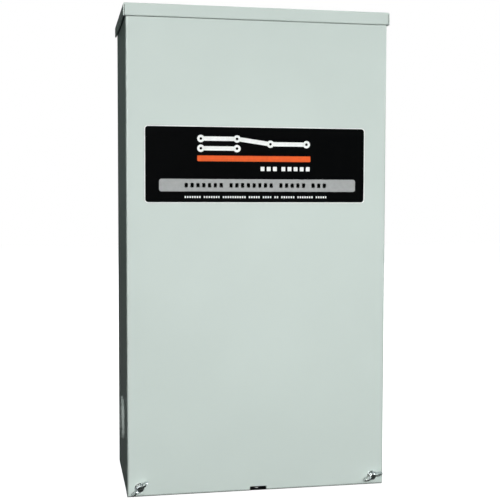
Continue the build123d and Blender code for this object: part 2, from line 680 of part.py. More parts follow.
with BuildPart() as phase_barrier:
    with Locations(at(COLUMN_X, BASE_FACE, SHAFT_Z)):
        Box(3, 80, 150, align=FORWARD)
    fillet(phase_barrier.edges().filter_by(Axis.X).group_by(Axis.Y)[0], 8)
    with Locations(at(COLUMN_X, SHAFT_OUT, SHAFT_Z)):
        Cylinder(SHAFT_SQUARE * 0.75, 10, rotation=ALONG_X, mode=Mode.SUBTRACT)

CHUTE_PLATES = (6.0, 10.0, 14.0)  # above and below the shaft's height
chutes = {}
for chute_name, direction in (("utility_arc_chutes", 1), ("generator_arc_chutes", -1)):
    with BuildPart() as arc_chutes:
        for pole in POLES:
            for rise in CHUTE_PLATES:
                with BuildSketch(Plane.XY.offset(SHAFT_Z + direction * rise)):
                    with Locations(at(pole, BASE_FACE + 1, 0)[:2]):
                        Rectangle(30, 31, align=(Align.CENTER, Align.MAX))
                    with Locations(at(pole, BASE_FACE + 12, 0)[:2]):
                        Rectangle(17, 40, align=(Align.CENTER, Align.MAX), mode=Mode.SUBTRACT)
                extrude(amount=0.6, both=True)
            for cheek in (-16, 16):
                with Locations(at(pole + cheek, BASE_FACE, SHAFT_Z + direction * CHUTE_PLATES[1])):
                    Box(2, 36, 14, align=FORWARD)
    chutes[chute_name] = arc_chutes

FIXED_PAD_LIFT = ARM_SECTION[1] / 2 + PAD_THICKNESS + PAD_GAP

with BuildPart() as fixed_contact_pads:
    for pole in POLES:
        for tilt, side in ((SHAFT_TILT, 1), (-SHAFT_TILT, -1)):
            pad_face = Plane(
                origin=at(pole, *from_shaft(PAD_REACH, side * FIXED_PAD_LIFT, tilt)),
                x_dir=(1, 0, 0),
                z_dir=(0, -side * sin(radians(tilt)), side * cos(radians(tilt))),
            )
            with BuildSketch(pad_face):
                Circle(PAD_RADIUS)
            extrude(amount=PAD_THICKNESS)

# ---------------------------------------------------------------- transfer mechanism: rocking shaft
with BuildPart() as transfer_shaft:
    shaft_section = Plane(
        origin=at(FRAME_LEFT + FRAME_THICKNESS + 1, SHAFT_OUT, SHAFT_Z),
        x_dir=(0, cos(radians(SHAFT_TILT)), sin(radians(SHAFT_TILT))),
        z_dir=(1, 0, 0),
    )
    with BuildSketch(shaft_section):
        RectangleRounded(SHAFT_SQUARE, SHAFT_SQUARE, radius=3)
    extrude(amount=FRAME_RIGHT - FRAME_LEFT - 2 * FRAME_THICKNESS - 2)
    with Locations(at((FRAME_LEFT + FRAME_RIGHT) / 2, SHAFT_OUT, SHAFT_Z)):
        Cylinder(JOURNAL_RADIUS, FRAME_RIGHT - FRAME_LEFT + 26, rotation=ALONG_X)
    with Locations(at(FRAME_RIGHT, SHAFT_OUT, SHAFT_Z)):
        Cylinder(JOURNAL_RADIUS, 44, rotation=ALONG_X)

with BuildPart() as contact_arms:
    for pole in POLES:
        foot = arm_plane(pole).offset(SHAFT_SQUARE / 2)
        with BuildSketch(foot):
            with Locations((0, 0)):
                Rectangle(18, ARM_SECTION[0])
            with Locations((0, LOAD_OFFSET / 2)):
                Rectangle(10, LOAD_OFFSET + 12)
        extrude(amount=3)
        with BuildSketch(foot):
            Rectangle(ARM_SECTION[1], ARM_SECTION[0])
        extrude(amount=ARM_LENGTH - SHAFT_SQUARE / 2)

with BuildPart() as moving_contact_pads:
    for pole in POLES:
        for side in (1, -1):
            pad_face = Plane(
                origin=at(pole, *from_shaft(PAD_REACH, side * ARM_SECTION[1] / 2)),
                x_dir=(1, 0, 0),
                z_dir=(0, -side * sin(radians(SHAFT_TILT)), side * cos(radians(SHAFT_TILT))),
            )
            with BuildSketch(pad_face):
                Circle(PAD_RADIUS)
            extrude(amount=PAD_THICKNESS)


def shaft_arm_points(reach, half_root, half_tip, tilt):
    """Outline of a tapered lever on the shaft, as side points."""
    return side_points(
        from_shaft(0, -half_root, tilt),
        from_shaft(reach, -half_tip, tilt),
        from_shaft(reach, half_tip, tilt),
        from_shaft(0, half_root, tilt),
    )


CRANK_X = -122.0

with BuildPart() as shaft_crank:
    with BuildSketch(Plane.YZ.offset(CRANK_X)):
        with BuildLine():
            Polyline(*shaft_arm_points(CRANK_REACH, 9, 6, SHAFT_TILT), close=True)
        make_face()
        with Locations((-SHAFT_OUT, SHAFT_Z)):
            Circle(11)
        with Locations(*side_points(from_shaft(CRANK_REACH, 0))):
            Circle(6)
        with Locations((-SHAFT_OUT, SHAFT_Z)):
            Circle(JOURNAL_RADIUS + SLIP, mode=Mode.SUBTRACT)
    extrude(amount=6)
    with BuildSketch(Plane.YZ.offset(CRANK_X)):
        with Locations(*side_points(from_shaft(CRANK_REACH, 0))):
            Circle(CRANK_PIN)
    extrude(amount=-20)

with BuildPart() as switch_cam:
    with BuildSketch(Plane.YZ.offset(FRAME_RIGHT + 1)):
        with BuildLine():
            Polyline(*shaft_arm_points(28, 5, 2.5, SHAFT_TILT), close=True)
        make_face()
        with Locations((-SHAFT_OUT, SHAFT_Z)):
            Circle(10)
            Circle(JOURNAL_RADIUS + SLIP, mode=Mode.SUBTRACT)
    extrude(amount=7)

HAND_LEVER_X = 74.0
HAND_LEVER_REACH = 66.0
HAND_LEVER_SHEET = 5.0
HAND_LEVER_HALVES = (8.0, 5.0)  # half width at the shaft and at the tip

with BuildPart() as hand_lever:
    with BuildSketch(Plane.YZ.offset(HAND_LEVER_X)):
        with BuildLine():
            Polyline(*shaft_arm_points(-HAND_LEVER_REACH, *HAND_LEVER_HALVES, SHAFT_TILT), close=True)
        make_face()
        with Locations((-SHAFT_OUT, SHAFT_Z)):
            Circle(11)
            Circle(JOURNAL_RADIUS + SLIP, mode=Mode.SUBTRACT)
    extrude(amount=HAND_LEVER_SHEET)
    fillet(hand_lever.edges().filter_by(Axis.X).group_by(Axis.Y)[0], 3)

with BuildPart() as lever_grip:
    grip_plane = Plane(
        origin=at(HAND_LEVER_X + HAND_LEVER_SHEET / 2, *from_shaft(-34, 0)),
        x_dir=(1, 0, 0),
        z_dir=(0, -cos(radians(SHAFT_TILT)), -sin(radians(SHAFT_TILT))),
    )
    with BuildSketch(grip_plane):
        RectangleRounded(13, 20, radius=5)
    extrude(amount=38)
    fillet(lever_grip.faces().sort_by(Axis.Y)[0].edges(), 3)
    with BuildSketch(Plane.YZ.offset(HAND_LEVER_X)):
        with BuildLine():
            Polyline(*shaft_arm_points(-HAND_LEVER_REACH, *HAND_LEVER_HALVES, SHAFT_TILT), close=True)
        make_face()
    extrude(amount=HAND_LEVER_SHEET, mode=Mode.SUBTRACT)

# ---------------------------------------------------------------- transfer mechanism: coils
YOKE_Z = SHAFT_Z + PLUNGER_LIFT
PLUNGER_LENGTH = 40.0
YOKE_SIZE = (8.0, 22.0, 14.0)
ROD_LENGTH = 6.0  # from the yoke to each plunger
COIL_CHEEK = 4.0  # thickness of a coil's end flanges

with BuildPart() as plunger_yoke:
    with Locations(at(PLUNGER_X, PIN_OUT, YOKE_Z)):
        Box(*YOKE_SIZE)
        Box(YOKE_SIZE[0], 2 * CRANK_PIN + 3.6, 2 * CRANK_PIN + 0.6, mode=Mode.SUBTRACT)
    with Locations(at(PLUNGER_X, PIN_OUT, YOKE_Z + YOKE_SIZE[2] / 2)):
        Cylinder(3.5, ROD_LENGTH, align=STANDING)
    with Locations(at(PLUNGER_X, PIN_OUT, YOKE_Z - YOKE_SIZE[2] / 2)):
        Cylinder(3.5, ROD_LENGTH, align=HANGING)

PLUNGER_START = YOKE_SIZE[2] / 2 + ROD_LENGTH

with BuildPart() as utility_plunger:
    with Locations(at(PLUNGER_X, PIN_OUT, YOKE_Z + PLUNGER_START)):
        Cylinder(PLUNGER_RADIUS, PLUNGER_LENGTH, align=STANDING)
    chamfer(utility_plunger.edges().filter_by(GeomType.CIRCLE), 1)

with BuildPart() as generator_plunger:
    with Locations(at(PLUNGER_X, PIN_OUT, YOKE_Z - PLUNGER_START)):
        Cylinder(PLUNGER_RADIUS, PLUNGER_LENGTH, align=HANGING)
    chamfer(generator_plunger.edges().filter_by(GeomType.CIRCLE), 1)

coils = {}
for coil_name, direction in (("utility_coil", 1), ("generator_coil", -1)):
    middle = SHAFT_Z + direction * (COIL_HALF_GAP + COIL_LENGTH / 2)
    with BuildPart() as coil:
        with Locations(at(PLUNGER_X, PIN_OUT, middle)):
            Cylinder(COIL_RADIUS - 2, COIL_LENGTH)
        for end in (COIL_CHEEK / 2, COIL_LENGTH - COIL_CHEEK / 2):
            with Locations(at(PLUNGER_X, PIN_OUT, SHAFT_Z + direction * (COIL_HALF_GAP + end))):
                Cylinder(COIL_RADIUS, COIL_CHEEK)
        with Locations(at(PLUNGER_X, PIN_OUT, middle)):
            Cylinder(PLUNGER_RADIUS + SLIP, COIL_LENGTH, mode=Mode.SUBTRACT)
    coils[coil_name] = coil

COIL_PLATE = 2.5
COIL_FRAME = (32.0, 38.0)  # across, deep
COIL_FRAME_BACK = PIN_OUT - 21

with BuildPart() as coil_frames:
    for direction in (1, -1):
        middle = SHAFT_Z + direction * (COIL_HALF_GAP + COIL_LENGTH / 2)
        with Locations(at(PLUNGER_X, COIL_FRAME_BACK, middle)):
            Box(*COIL_FRAME, COIL_LENGTH + 2 * COIL_PLATE, align=FORWARD)
        with Locations(at(PLUNGER_X, COIL_FRAME_BACK + COIL_PLATE, middle)):
            Box(*COIL_FRAME, COIL_LENGTH, align=FORWARD, mode=Mode.SUBTRACT)
        with Locations(at(PLUNGER_X, PIN_OUT, middle)):
            Cylinder(PLUNGER_RADIUS + 0.5, COIL_LENGTH + 4 * COIL_PLATE, mode=Mode.SUBTRACT)

BRACKET_SIZE = (28.0, COIL_FRAME_BACK - PANEL_FACE, BASE_SIZE[2])
BRACKET_SHEET = 2.0

with BuildPart() as coil_bracket:
    with Locations(at(PLUNGER_X, PANEL_FACE, SHAFT_Z)):
        Box(*BRACKET_SIZE, align=FORWARD)
    with Locations(at(PLUNGER_X, PANEL_FACE, SHAFT_Z)):
        Box(
            BRACKET_SIZE[0] - 2 * BRACKET_SHEET,
            BRACKET_SIZE[1] - BRACKET_SHEET,
            BRACKET_SIZE[2],
            align=FORWARD,
            mode=Mode.SUBTRACT,
        )
    fillet(coil_bracket.faces().sort_by(Axis.Y)[0].edges().filter_by(Axis.Z), 1.5)

# ---------------------------------------------------------------- limit switches
LIMIT_X = FRAME_RIGHT
LEVER_HINGE_OUT = 52.0
LEVER_DROP = 8.0  # degrees a freed lever springs out
LEVER_RISE = 12.9  # pressed lever's hinge, above or below the shaft
LEVER_LENGTH = 24.0
LIMIT_SWITCH = (10.0, 28.0, 15.0)

with BuildPart() as limit_switches:
    for direction in (1, -1):
        with Locations(at(LIMIT_X + LIMIT_SWITCH[0] / 2, 48, SHAFT_Z + direction * 22.5)):
            Box(*LIMIT_SWITCH, align=FORWARD)
    fillet(limit_switches.edges().filter_by(Axis.X), 1)

# in the utility position the utility lever is pressed and the generator lever is free
limit_levers = {}
for lever_name, direction, tilt in (
    ("utility_switch_lever", 1, 0),
    ("generator_switch_lever", -1, LEVER_DROP),
):
    hinge = Plane(
        origin=at(LIMIT_X + 1.5, LEVER_HINGE_OUT, SHAFT_Z + direction * LEVER_RISE),
        x_dir=(0, -cos(radians(tilt)), sin(radians(tilt))),
        z_dir=(1, 0, 0),
    )
    with BuildPart() as limit_lever:
        with BuildSketch(hinge):
            Circle(1.0)
            with Locations((LEVER_LENGTH / 2, 0)):
                Rectangle(LEVER_LENGTH, 0.8)
        extrude(amount=7)
    limit_levers[lever_name] = limit_lever

# ---------------------------------------------------------------- neutral and ground
NEUTRAL_Z = -195.0
NEUTRAL_SIZE = (150.0, 20.0, 34.0)
NEUTRAL_BAR = (142.0, 24.0, 24.0)
SMALL_SCREW = 2.2  # radius

with BuildPart() as neutral_base:
    with Locations(at(COLUMN_X, PANEL_FACE, NEUTRAL_Z)):
        Box(*NEUTRAL_SIZE, align=FORWARD)
    fillet(neutral_base.edges().filter_by(Axis.Y), 4)

neutral_face = PANEL_FACE + NEUTRAL_SIZE[1]
neutral_bores = [COLUMN_X - 50, COLUMN_X - 20, COLUMN_X + 10]
small_bores = [COLUMN_X + 34 + 9 * step for step in range(4)]

with BuildPart() as neutral_bar:
    with Locations(at(COLUMN_X, neutral_face, NEUTRAL_Z)):
        Box(*NEUTRAL_BAR, align=FORWARD)
    chamfer(neutral_bar.edges().filter_by(Axis.X), 1)
    with Locations(*[at(x, neutral_face + 11, NEUTRAL_Z) for x in neutral_bores]):
        Cylinder(LUG_BORE, NEUTRAL_BAR[2], mode=Mode.SUBTRACT)
    with Locations(*[at(x, neutral_face + NEUTRAL_BAR[1], NEUTRAL_Z) for x in neutral_bores]):
        Cylinder(LUG_SCREW + SLIP, 20, rotation=ALONG_Y, mode=Mode.SUBTRACT)
    with Locations(*[at(x, neutral_face + 14, NEUTRAL_Z) for x in small_bores]):
        Cylinder(2.6, NEUTRAL_BAR[2], mode=Mode.SUBTRACT)
    with Locations(*[at(x, neutral_face + NEUTRAL_BAR[1], NEUTRAL_Z) for x in small_bores]):
        Cylinder(SMALL_SCREW + SLIP, 16, rotation=ALONG_Y, mode=Mode.SUBTRACT)

with BuildPart() as neutral_screws:
    with Locations(*[at(x, neutral_face + NEUTRAL_BAR[1], NEUTRAL_Z) for x in neutral_bores]):
        Cylinder(LUG_SCREW, 10, rotation=ALONG_Y)
    with Locations(*[at(x, neutral_face + NEUTRAL_BAR[1], NEUTRAL_Z) for x in small_bores]):
        Cylinder(SMALL_SCREW, 8, rotation=ALONG_Y)
    with Locations(*[at(x, neutral_face + 29, NEUTRAL_Z) for x in neutral_bores]):
        Box(8, 3, 1.4, mode=Mode.SUBTRACT)
    with Locations(*[at(x, neutral_face + 28, NEUTRAL_Z) for x in small_bores]):
        Box(5, 2, 0.8, mode=Mode.SUBTRACT)

GROUND_X = 108.0
GROUND_Z = -205.0
GROUND_BAR = (78.0, 14.0, 13.0)
ground_bores = [GROUND_X - 30 + 10 * step for step in range(7)]

with BuildPart() as ground_bar:
    with Locations(at(GROUND_X, PANEL_FACE, GROUND_Z)):
        Box(*GROUND_BAR, align=FORWARD)
    chamfer(ground_bar.edges().filter_by(Axis.X), 1)
    with Locations(*[at(x, PANEL_FACE + 6, GROUND_Z) for x in ground_bores]):
        Cylinder(2.8, GROUND_BAR[2], mode=Mode.SUBTRACT)
    with Locations(*[at(x, PANEL_FACE + GROUND_BAR[1], GROUND_Z) for x in ground_bores]):
        Cylinder(SMALL_SCREW + SLIP, 12, rotation=ALONG_Y, mode=Mode.SUBTRACT)

with BuildPart() as ground_bar_screws:
    with Locations(*[at(x, PANEL_FACE + GROUND_BAR[1], GROUND_Z) for x in ground_bores]):
        Cylinder(SMALL_SCREW, 6, rotation=ALONG_Y)
        Box(4.6, 5, 0.8, align=FORWARD, mode=Mode.SUBTRACT)
    with Locations(*[at(x, PANEL_FACE + GROUND_BAR[1], GROUND_Z) for x in ground_bores]):
        Cylinder(3.6, 2, rotation=ALONG_Y, align=STANDING)
        Box(6, 3, 0.9, mode=Mode.SUBTRACT)

STRAP_Z = NEUTRAL_Z - 22
STRAP = (1.5, 10.0)  # thickness, width
STRAP_GROUND_OUT = PANEL_FACE + STRAP[0] / 2

with BuildPart() as bonding_strap:
    with BuildSketch(Plane.XY.offset(STRAP_Z - STRAP[1] / 2)):
        with BuildLine():
            FilletPolyline(
                at(COLUMN_X + 30, neutral_face + 5, 0)[:2],
                at(COLUMN_X + 84, neutral_face + 5, 0)[:2],
                at(COLUMN_X + 92, STRAP_GROUND_OUT, 0)[:2],
                at(GROUND_X + 20, STRAP_GROUND_OUT, 0)[:2],
                radius=4,
            )
        trace(line_width=STRAP[0])
    extrude(amount=STRAP[1])

# ---------------------------------------------------------------- control column
SOCKET_SIZE = (46.0, 16.0, 84.0)
SOCKET_FACE = PANEL_FACE + SOCKET_SIZE[1]
RELAY_OUT = SOCKET_FACE + 4
RELAY_COVER = (38.0, 50.0, 54.0)
RELAY_COVER_WALL = 1.5

with BuildPart() as relay_socket:
    with Locations(at(CONTROL_X, PANEL_FACE, RELAY_Z)):
        Box(*SOCKET_SIZE, align=FORWARD)
    fillet(relay_socket.edges().filter_by(Axis.Y), 2)
    with Locations(at(CONTROL_X, SOCKET_FACE, RELAY_Z)):
        Box(RELAY_COVER[0] - 4, 4, RELAY_COVER[2] - 4, align=FORWARD)
    with BuildSketch(Plane.XZ.offset(SOCKET_FACE)):
        with Locations((CONTROL_X, RELAY_Z)):
            with GridLocations(15, 72, 3, 2):
                Circle(3.6)
    extrude(amount=-2, mode=Mode.SUBTRACT)

with BuildPart() as relay_coil:
    with Locations(at(CONTROL_X, RELAY_OUT, RELAY_Z - 4)):
        Cylinder(10, 24, rotation=ALONG_Y, align=STANDING)
    with Locations(at(CONTROL_X, RELAY_OUT, RELAY_Z - 4)):
        Cylinder(3.5, 26, rotation=ALONG_Y, align=STANDING)
    with Locations(at(CONTROL_X, RELAY_OUT, RELAY_Z + 12)):
        Box(18, 25, 1.6, align=FORWARD_AND_UP)
    with Locations(at(CONTROL_X, RELAY_OUT, RELAY_Z)):
        Box(18, 2, 26, align=FORWARD)

ARMATURE_OUT = RELAY_OUT + 27
ARMATURE_GAP = 4.0  # degrees between the open and the pulled-in armature

with BuildPart() as relay_armature:
    armature_plane = Plane(
        origin=at(CONTROL_X - 9, ARMATURE_OUT, RELAY_Z + 14),
        x_dir=(0, -sin(radians(ARMATURE_GAP)), -cos(radians(ARMATURE_GAP))),
        z_dir=(1, 0, 0),
    )
    with BuildSketch(armature_plane):
        Circle(1.2)
        with Locations((15, 0)):
            Rectangle(30, 1.6)
    extrude(amount=18)

with BuildPart() as relay_cover:
    with Locations(at(CONTROL_X, SOCKET_FACE, RELAY_Z)):
        Box(*RELAY_COVER, align=FORWARD)
    fillet(relay_cover.edges().filter_by(Axis.Y), 3)
    fillet(relay_cover.faces().sort_by(Axis.Y)[0].edges(), 2)
    with Locations(at(CONTROL_X, SOCKET_FACE, RELAY_Z)):
        Box(
            RELAY_COVER[0] - 2 * RELAY_COVER_WALL,
            RELAY_COVER[1] - RELAY_COVER_WALL,
            RELAY_COVER[2] - 2 * RELAY_COVER_WALL,
            align=FORWARD,
            mode=Mode.SUBTRACT,
        )

FUSE_PLACES = [CONTROL_X - 18, CONTROL_X, CONTROL_X + 18]
FUSE_OUT = PANEL_FACE + 21
FUSE_RADIUS = 5.2
FUSE_LENGTH = 38.0

with BuildPart() as fuse_block:
    with Locations(at(CONTROL_X, PANEL_FACE, FUSE_Z)):
        Box(62, 12, 64, align=FORWARD)
    with Locations(*[at(CONTROL_X + x, PANEL_FACE + 12, FUSE_Z) for x in (-27, -9, 9, 27)]):
        Box(2, 14, 60, align=FORWARD)
    fillet(fuse_block.edges().filter_by(Axis.Y), 0.8)

with BuildPart() as fuse_clips:
    for x in FUSE_PLACES:
        for z in (FUSE_Z - 15, FUSE_Z + 15):
            with Locations(at(x, PANEL_FACE + 12, z)):
                Box(13, 12, 6, align=FORWARD)
            with Locations(at(x, FUSE_OUT, z)):
                Cylinder(FUSE_RADIUS + SLIP, 6, mode=Mode.SUBTRACT)
            with Locations(at(x, PANEL_FACE + 22, z)):
                Box(8, 4, 6, align=FORWARD, mode=Mode.SUBTRACT)

with BuildPart() as control_fuses:
    with Locations(*[at(x, FUSE_OUT, FUSE_Z) for x in FUSE_PLACES]):
        Cylinder(FUSE_RADIUS, FUSE_LENGTH)
    chamfer(control_fuses.edges().filter_by(GeomType.CIRCLE), 0.6)

STRIP_X = CONTROL_X + 5
STRIP_FACE = PANEL_FACE + STRIP_SIZE[1]
strip_rows = [STRIP_Z + STRIP_PITCH * (row - (STRIP_WAYS - 1) / 2) for row in range(STRIP_WAYS)]

with BuildPart() as terminal_strip:
    with Locations(at(STRIP_X, PANEL_FACE, STRIP_Z)):
        Box(*STRIP_SIZE, align=FORWARD)
    with Locations(*[at(STRIP_X, STRIP_FACE, z + STRIP_PITCH / 2) for z in strip_rows]):
        Box(28, 8, 1.6, align=FORWARD)
    with Locations(at(STRIP_X, STRIP_FACE, STRIP_Z)):
        Box(3, 8, STRIP_WAYS * STRIP_PITCH, align=FORWARD)

strip_terminals = [(STRIP_X + across, up) for across in (-8, 8) for up in strip_rows]

with BuildPart() as terminal_screws:
    with Locations(*[at(across, STRIP_FACE, up) for across, up in strip_terminals]):
        Box(9, 1, 8, align=FORWARD)
        Cylinder(3.2, 3, rotation=ALONG_Y, align=STANDING)
    with Locations(*[at(across, STRIP_FACE + 2, up) for across, up in strip_terminals]):
        Box(5, 2, 0.8, align=FORWARD, mode=Mode.SUBTRACT)

# ---------------------------------------------------------------- write every piece
pieces = {
    "enclosure_box": enclosure_box,
    "rain_hood": rain_hood,
    "clip_nuts": clip_nuts,
    "front_cover": front_cover,
    "cover_gasket": cover_gasket,
    "nameplate": nameplate,
    "mounting_panel": mounting_panel,
    "panel_studs": panel_studs,
    "panel_nuts": panel_nuts,
    "breaker_case": breaker_case,
    "breaker_handle": breaker_handle,
    "line_lug_guard": line_lug_guard,
    "terminal_lugs": terminal_lugs,
    "lug_set_screws": lug_set_screws,
    "utility_bus_bars": utility_bus_bars,
    "generator_bus_bars": generator_bus_bars,
    "load_bus_bars": load_bus_bars,
    "load_braids": load_braids,
    "switch_base": switch_base,
    "base_screws": base_screws,
    "phase_barrier": phase_barrier,
    "fixed_contact_pads": fixed_contact_pads,
    "transfer_shaft": transfer_shaft,
    "contact_arms": contact_arms,
    "moving_contact_pads": moving_contact_pads,
    "shaft_crank": shaft_crank,
    "switch_cam": switch_cam,
    "hand_lever": hand_lever,
    "lever_grip": lever_grip,
    "plunger_yoke": plunger_yoke,
    "utility_plunger": utility_plunger,
    "generator_plunger": generator_plunger,
    "coil_frames": coil_frames,
    "coil_bracket": coil_bracket,
    "limit_switches": limit_switches,
    "neutral_base": neutral_base,
    "neutral_bar": neutral_bar,
    "neutral_screws": neutral_screws,
    "ground_bar": ground_bar,
    "ground_bar_screws": ground_bar_screws,
    "bonding_strap": bonding_strap,
    "relay_socket": relay_socket,
    "relay_coil": relay_coil,
    "relay_armature": relay_armature,
    "relay_cover": relay_cover,
    "fuse_block": fuse_block,
    "fuse_clips": fuse_clips,
    "control_fuses": control_fuses,
    "terminal_strip": terminal_strip,
    "terminal_screws": terminal_screws,
    **wing_screws,
    **side_frames,
    **chutes,
    **coils,
    **limit_levers,
}
for name, piece in pieces.items():
    finish(piece, name)
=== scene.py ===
import json
import math

import bmesh
import bpy
from mathutils import Matrix, Vector


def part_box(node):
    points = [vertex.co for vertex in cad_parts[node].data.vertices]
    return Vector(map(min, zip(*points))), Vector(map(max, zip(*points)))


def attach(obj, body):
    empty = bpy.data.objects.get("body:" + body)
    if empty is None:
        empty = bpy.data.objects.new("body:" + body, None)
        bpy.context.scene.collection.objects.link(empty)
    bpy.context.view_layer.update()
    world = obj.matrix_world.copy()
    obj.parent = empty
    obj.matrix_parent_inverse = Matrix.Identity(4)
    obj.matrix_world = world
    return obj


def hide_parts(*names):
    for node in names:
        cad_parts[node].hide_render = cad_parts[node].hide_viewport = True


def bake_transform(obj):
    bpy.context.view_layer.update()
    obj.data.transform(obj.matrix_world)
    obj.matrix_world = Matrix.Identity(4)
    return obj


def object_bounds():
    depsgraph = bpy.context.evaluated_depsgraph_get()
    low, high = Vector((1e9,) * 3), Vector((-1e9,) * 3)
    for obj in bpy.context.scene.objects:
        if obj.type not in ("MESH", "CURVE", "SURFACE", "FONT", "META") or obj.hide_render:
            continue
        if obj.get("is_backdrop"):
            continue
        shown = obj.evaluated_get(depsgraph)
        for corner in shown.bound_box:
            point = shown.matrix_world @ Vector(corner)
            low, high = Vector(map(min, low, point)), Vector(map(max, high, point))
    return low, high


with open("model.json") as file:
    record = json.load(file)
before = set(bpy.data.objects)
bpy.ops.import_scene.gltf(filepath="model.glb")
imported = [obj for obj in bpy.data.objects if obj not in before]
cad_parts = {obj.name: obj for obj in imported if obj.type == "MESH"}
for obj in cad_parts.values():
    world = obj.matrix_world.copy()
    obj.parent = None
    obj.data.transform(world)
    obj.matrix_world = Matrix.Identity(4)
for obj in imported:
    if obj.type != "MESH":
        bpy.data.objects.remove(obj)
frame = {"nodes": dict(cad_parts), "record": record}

# Looks of an automatic transfer switch. Metres, in the cabinet's own frame: X right, Y into the wall,
# Z up. The front faces -Y.

CAD_LOW, CAD_HIGH = (Vector(corner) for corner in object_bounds())
MM = 0.001
RIGHT = Vector((1, 0, 0))
OUT = Vector((0, -1, 0))
UP = Vector((0, 0, 1))
WHITE = (1.0, 1.0, 1.0, 1.0)
COVER_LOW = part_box("front_cover")[0]
PLATE_LOW, PLATE_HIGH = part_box("nameplate")
JOINTS = {joint["name"]: joint for joint in frame["record"]["behaviour"]["joints"]}


def srgb(red, green, blue):
    """An 8-bit display colour as linear RGBA."""
    channels = [value / 255 for value in (red, green, blue)]
    linear = [c / 12.92 if c <= 0.04045 else ((c + 0.055) / 1.055) ** 2.4 for c in channels]
    return (*linear, 1.0)


def dimmed(color, factor):
    return (*(channel * factor for channel in color[:3]), 1.0)


# ---------------------------------------------------------------- shader building
MIX_FACTOR, MIX_COLOR_A, MIX_COLOR_B = 0, 6, 7  # sockets of a mix node set to colours
MIX_COLOR_OUT = 2


class Nodes:
    """A node tree being built. An input may be a number, a colour, a vector or another node's output."""

    def __init__(self, owner):
        owner.use_nodes = True
        self.tree = owner.node_tree
        self.tree.nodes.clear()

    def feed(self, socket, value):
        if isinstance(value, bpy.types.NodeSocket):
            self.tree.links.new(value, socket)
        elif value is not None:
            socket.default_value = value

    def node(self, kind, settings=None, **inputs):
        """A node whose inputs are named, with underscores for spaces."""
        made = self.tree.nodes.new(kind)
        for key, value in (settings or {}).items():
            setattr(made, key, value)
        for key, value in inputs.items():
            self.feed(made.inputs[key.replace("_", " ")], value)
        return made

    def ordered(self, kind, settings, *values):
        """A node whose inputs are given in the node's own order."""
        made = self.node(kind, settings)
        for socket, value in zip(made.inputs, values):
            self.feed(socket, value)
        return made

    def maths(self, operation, first, second=0.0, clamp=False):
        settings = {"operation": operation, "use_clamp": clamp}
        return self.ordered("ShaderNodeMath", settings, first, second).outputs[0]

    def spread(self, value, low, high, to_low=0.0, to_high=1.0):
        """value between low and high, rescaled and clamped."""
        limits = (low, high, to_low, to_high)
        return self.ordered("ShaderNodeMapRange", {"clamp": True}, value, *limits).outputs[0]

    def blend(self, factor, first, second):
        """first where factor is 0, second where it is 1."""
        made = self.node("ShaderNodeMix", {"data_type": "RGBA"})
        self.feed(made.inputs[MIX_FACTOR], factor)
        self.feed(made.inputs[MIX_COLOR_A], first)
        self.feed(made.inputs[MIX_COLOR_B], second)
        return made.outputs[MIX_COLOR_OUT]


class Shader(Nodes):
    """A principled material with the patterns that this object's finishes share."""

    def __init__(self, name):
        self.material = bpy.data.materials.new(name)
        super().__init__(self.material)
        self.place = self.node("ShaderNodeTexCoord").outputs["Object"]
        self.geometry = self.node("ShaderNodeNewGeometry")

    def stretched(self, x=1.0, y=1.0, z=1.0):
        """Object coordinates scaled along each axis, for brushed or layered patterns."""
        return self.node("ShaderNodeMapping", Vector=self.place, Scale=(x, y, z)).outputs["Vector"]

    def noise(self, scale, detail=2.0, roughness=0.5, at=None):
        """Soft noise from 0 to 1, with about this many grains to the metre."""
        made = self.node(
            "ShaderNodeTexNoise", Vector=at or self.place, Scale=scale, Detail=detail, Roughness=roughness
        )
        return made.outputs["Fac"]

    def cells(self, scale, output="Distance", at=None):
        """Irregular cells, about this many to the metre."""
        return self.node("ShaderNodeTexVoronoi", Vector=at or self.place, Scale=scale).outputs[output]

    def bands(self, settings, **inputs):
        """Parallel waves from 0 to 1."""
        return self.node("ShaderNodeTexWave", settings, **inputs).outputs["Fac"]

    def rounded(self, radius):
        """Normals of an edge eased by this radius."""
        return self.node("ShaderNodeBevel", {"samples": 4}, Radius=radius).outputs["Normal"]

    def edges(self, radius):
        """1 on sharp edges and corners, 0 on flat faces: where the finish wears."""
        slight, sharp = 0.02, 0.25
        facing = self.ordered(
            "ShaderNodeVectorMath",
            {"operation": "DOT_PRODUCT"},
            self.rounded(radius),
            self.geometry.outputs["Normal"],
        )
        return self.spread(self.maths("SUBTRACT", 1.0, facing.outputs["Value"]), slight, sharp)

    def bump(self, height, strength, distance, under=None):
        """Normals of a raised pattern this deep, on top of other normals."""
        made = self.node("ShaderNodeBump", Strength=strength, Distance=distance, Height=height)
        self.feed(made.inputs["Normal"], under)
        return made.outputs["Normal"]

    def finish(self, color, roughness, metallic=0.0, normal=None, **more):
        surface = self.node(
            "ShaderNodeBsdfPrincipled",
            Base_Color=color,
            Roughness=roughness,
            Metallic=metallic,
            Normal=normal,
            **more,
        )
        self.node("ShaderNodeOutputMaterial", Surface=surface.outputs[0])
        return self.material


# ---------------------------------------------------------------- materials
NOTCH_HALF_WIDTH = 11 * MM
NOTCH_HEIGHT = 6.2 * MM
NOTCH_DEPTH = 14 * MM
COVER_SKIN = 1 * MM  # the shading starts this far behind the cover's face
HEM_SKIN = 0.05 * MM  # and this far above its lower edge


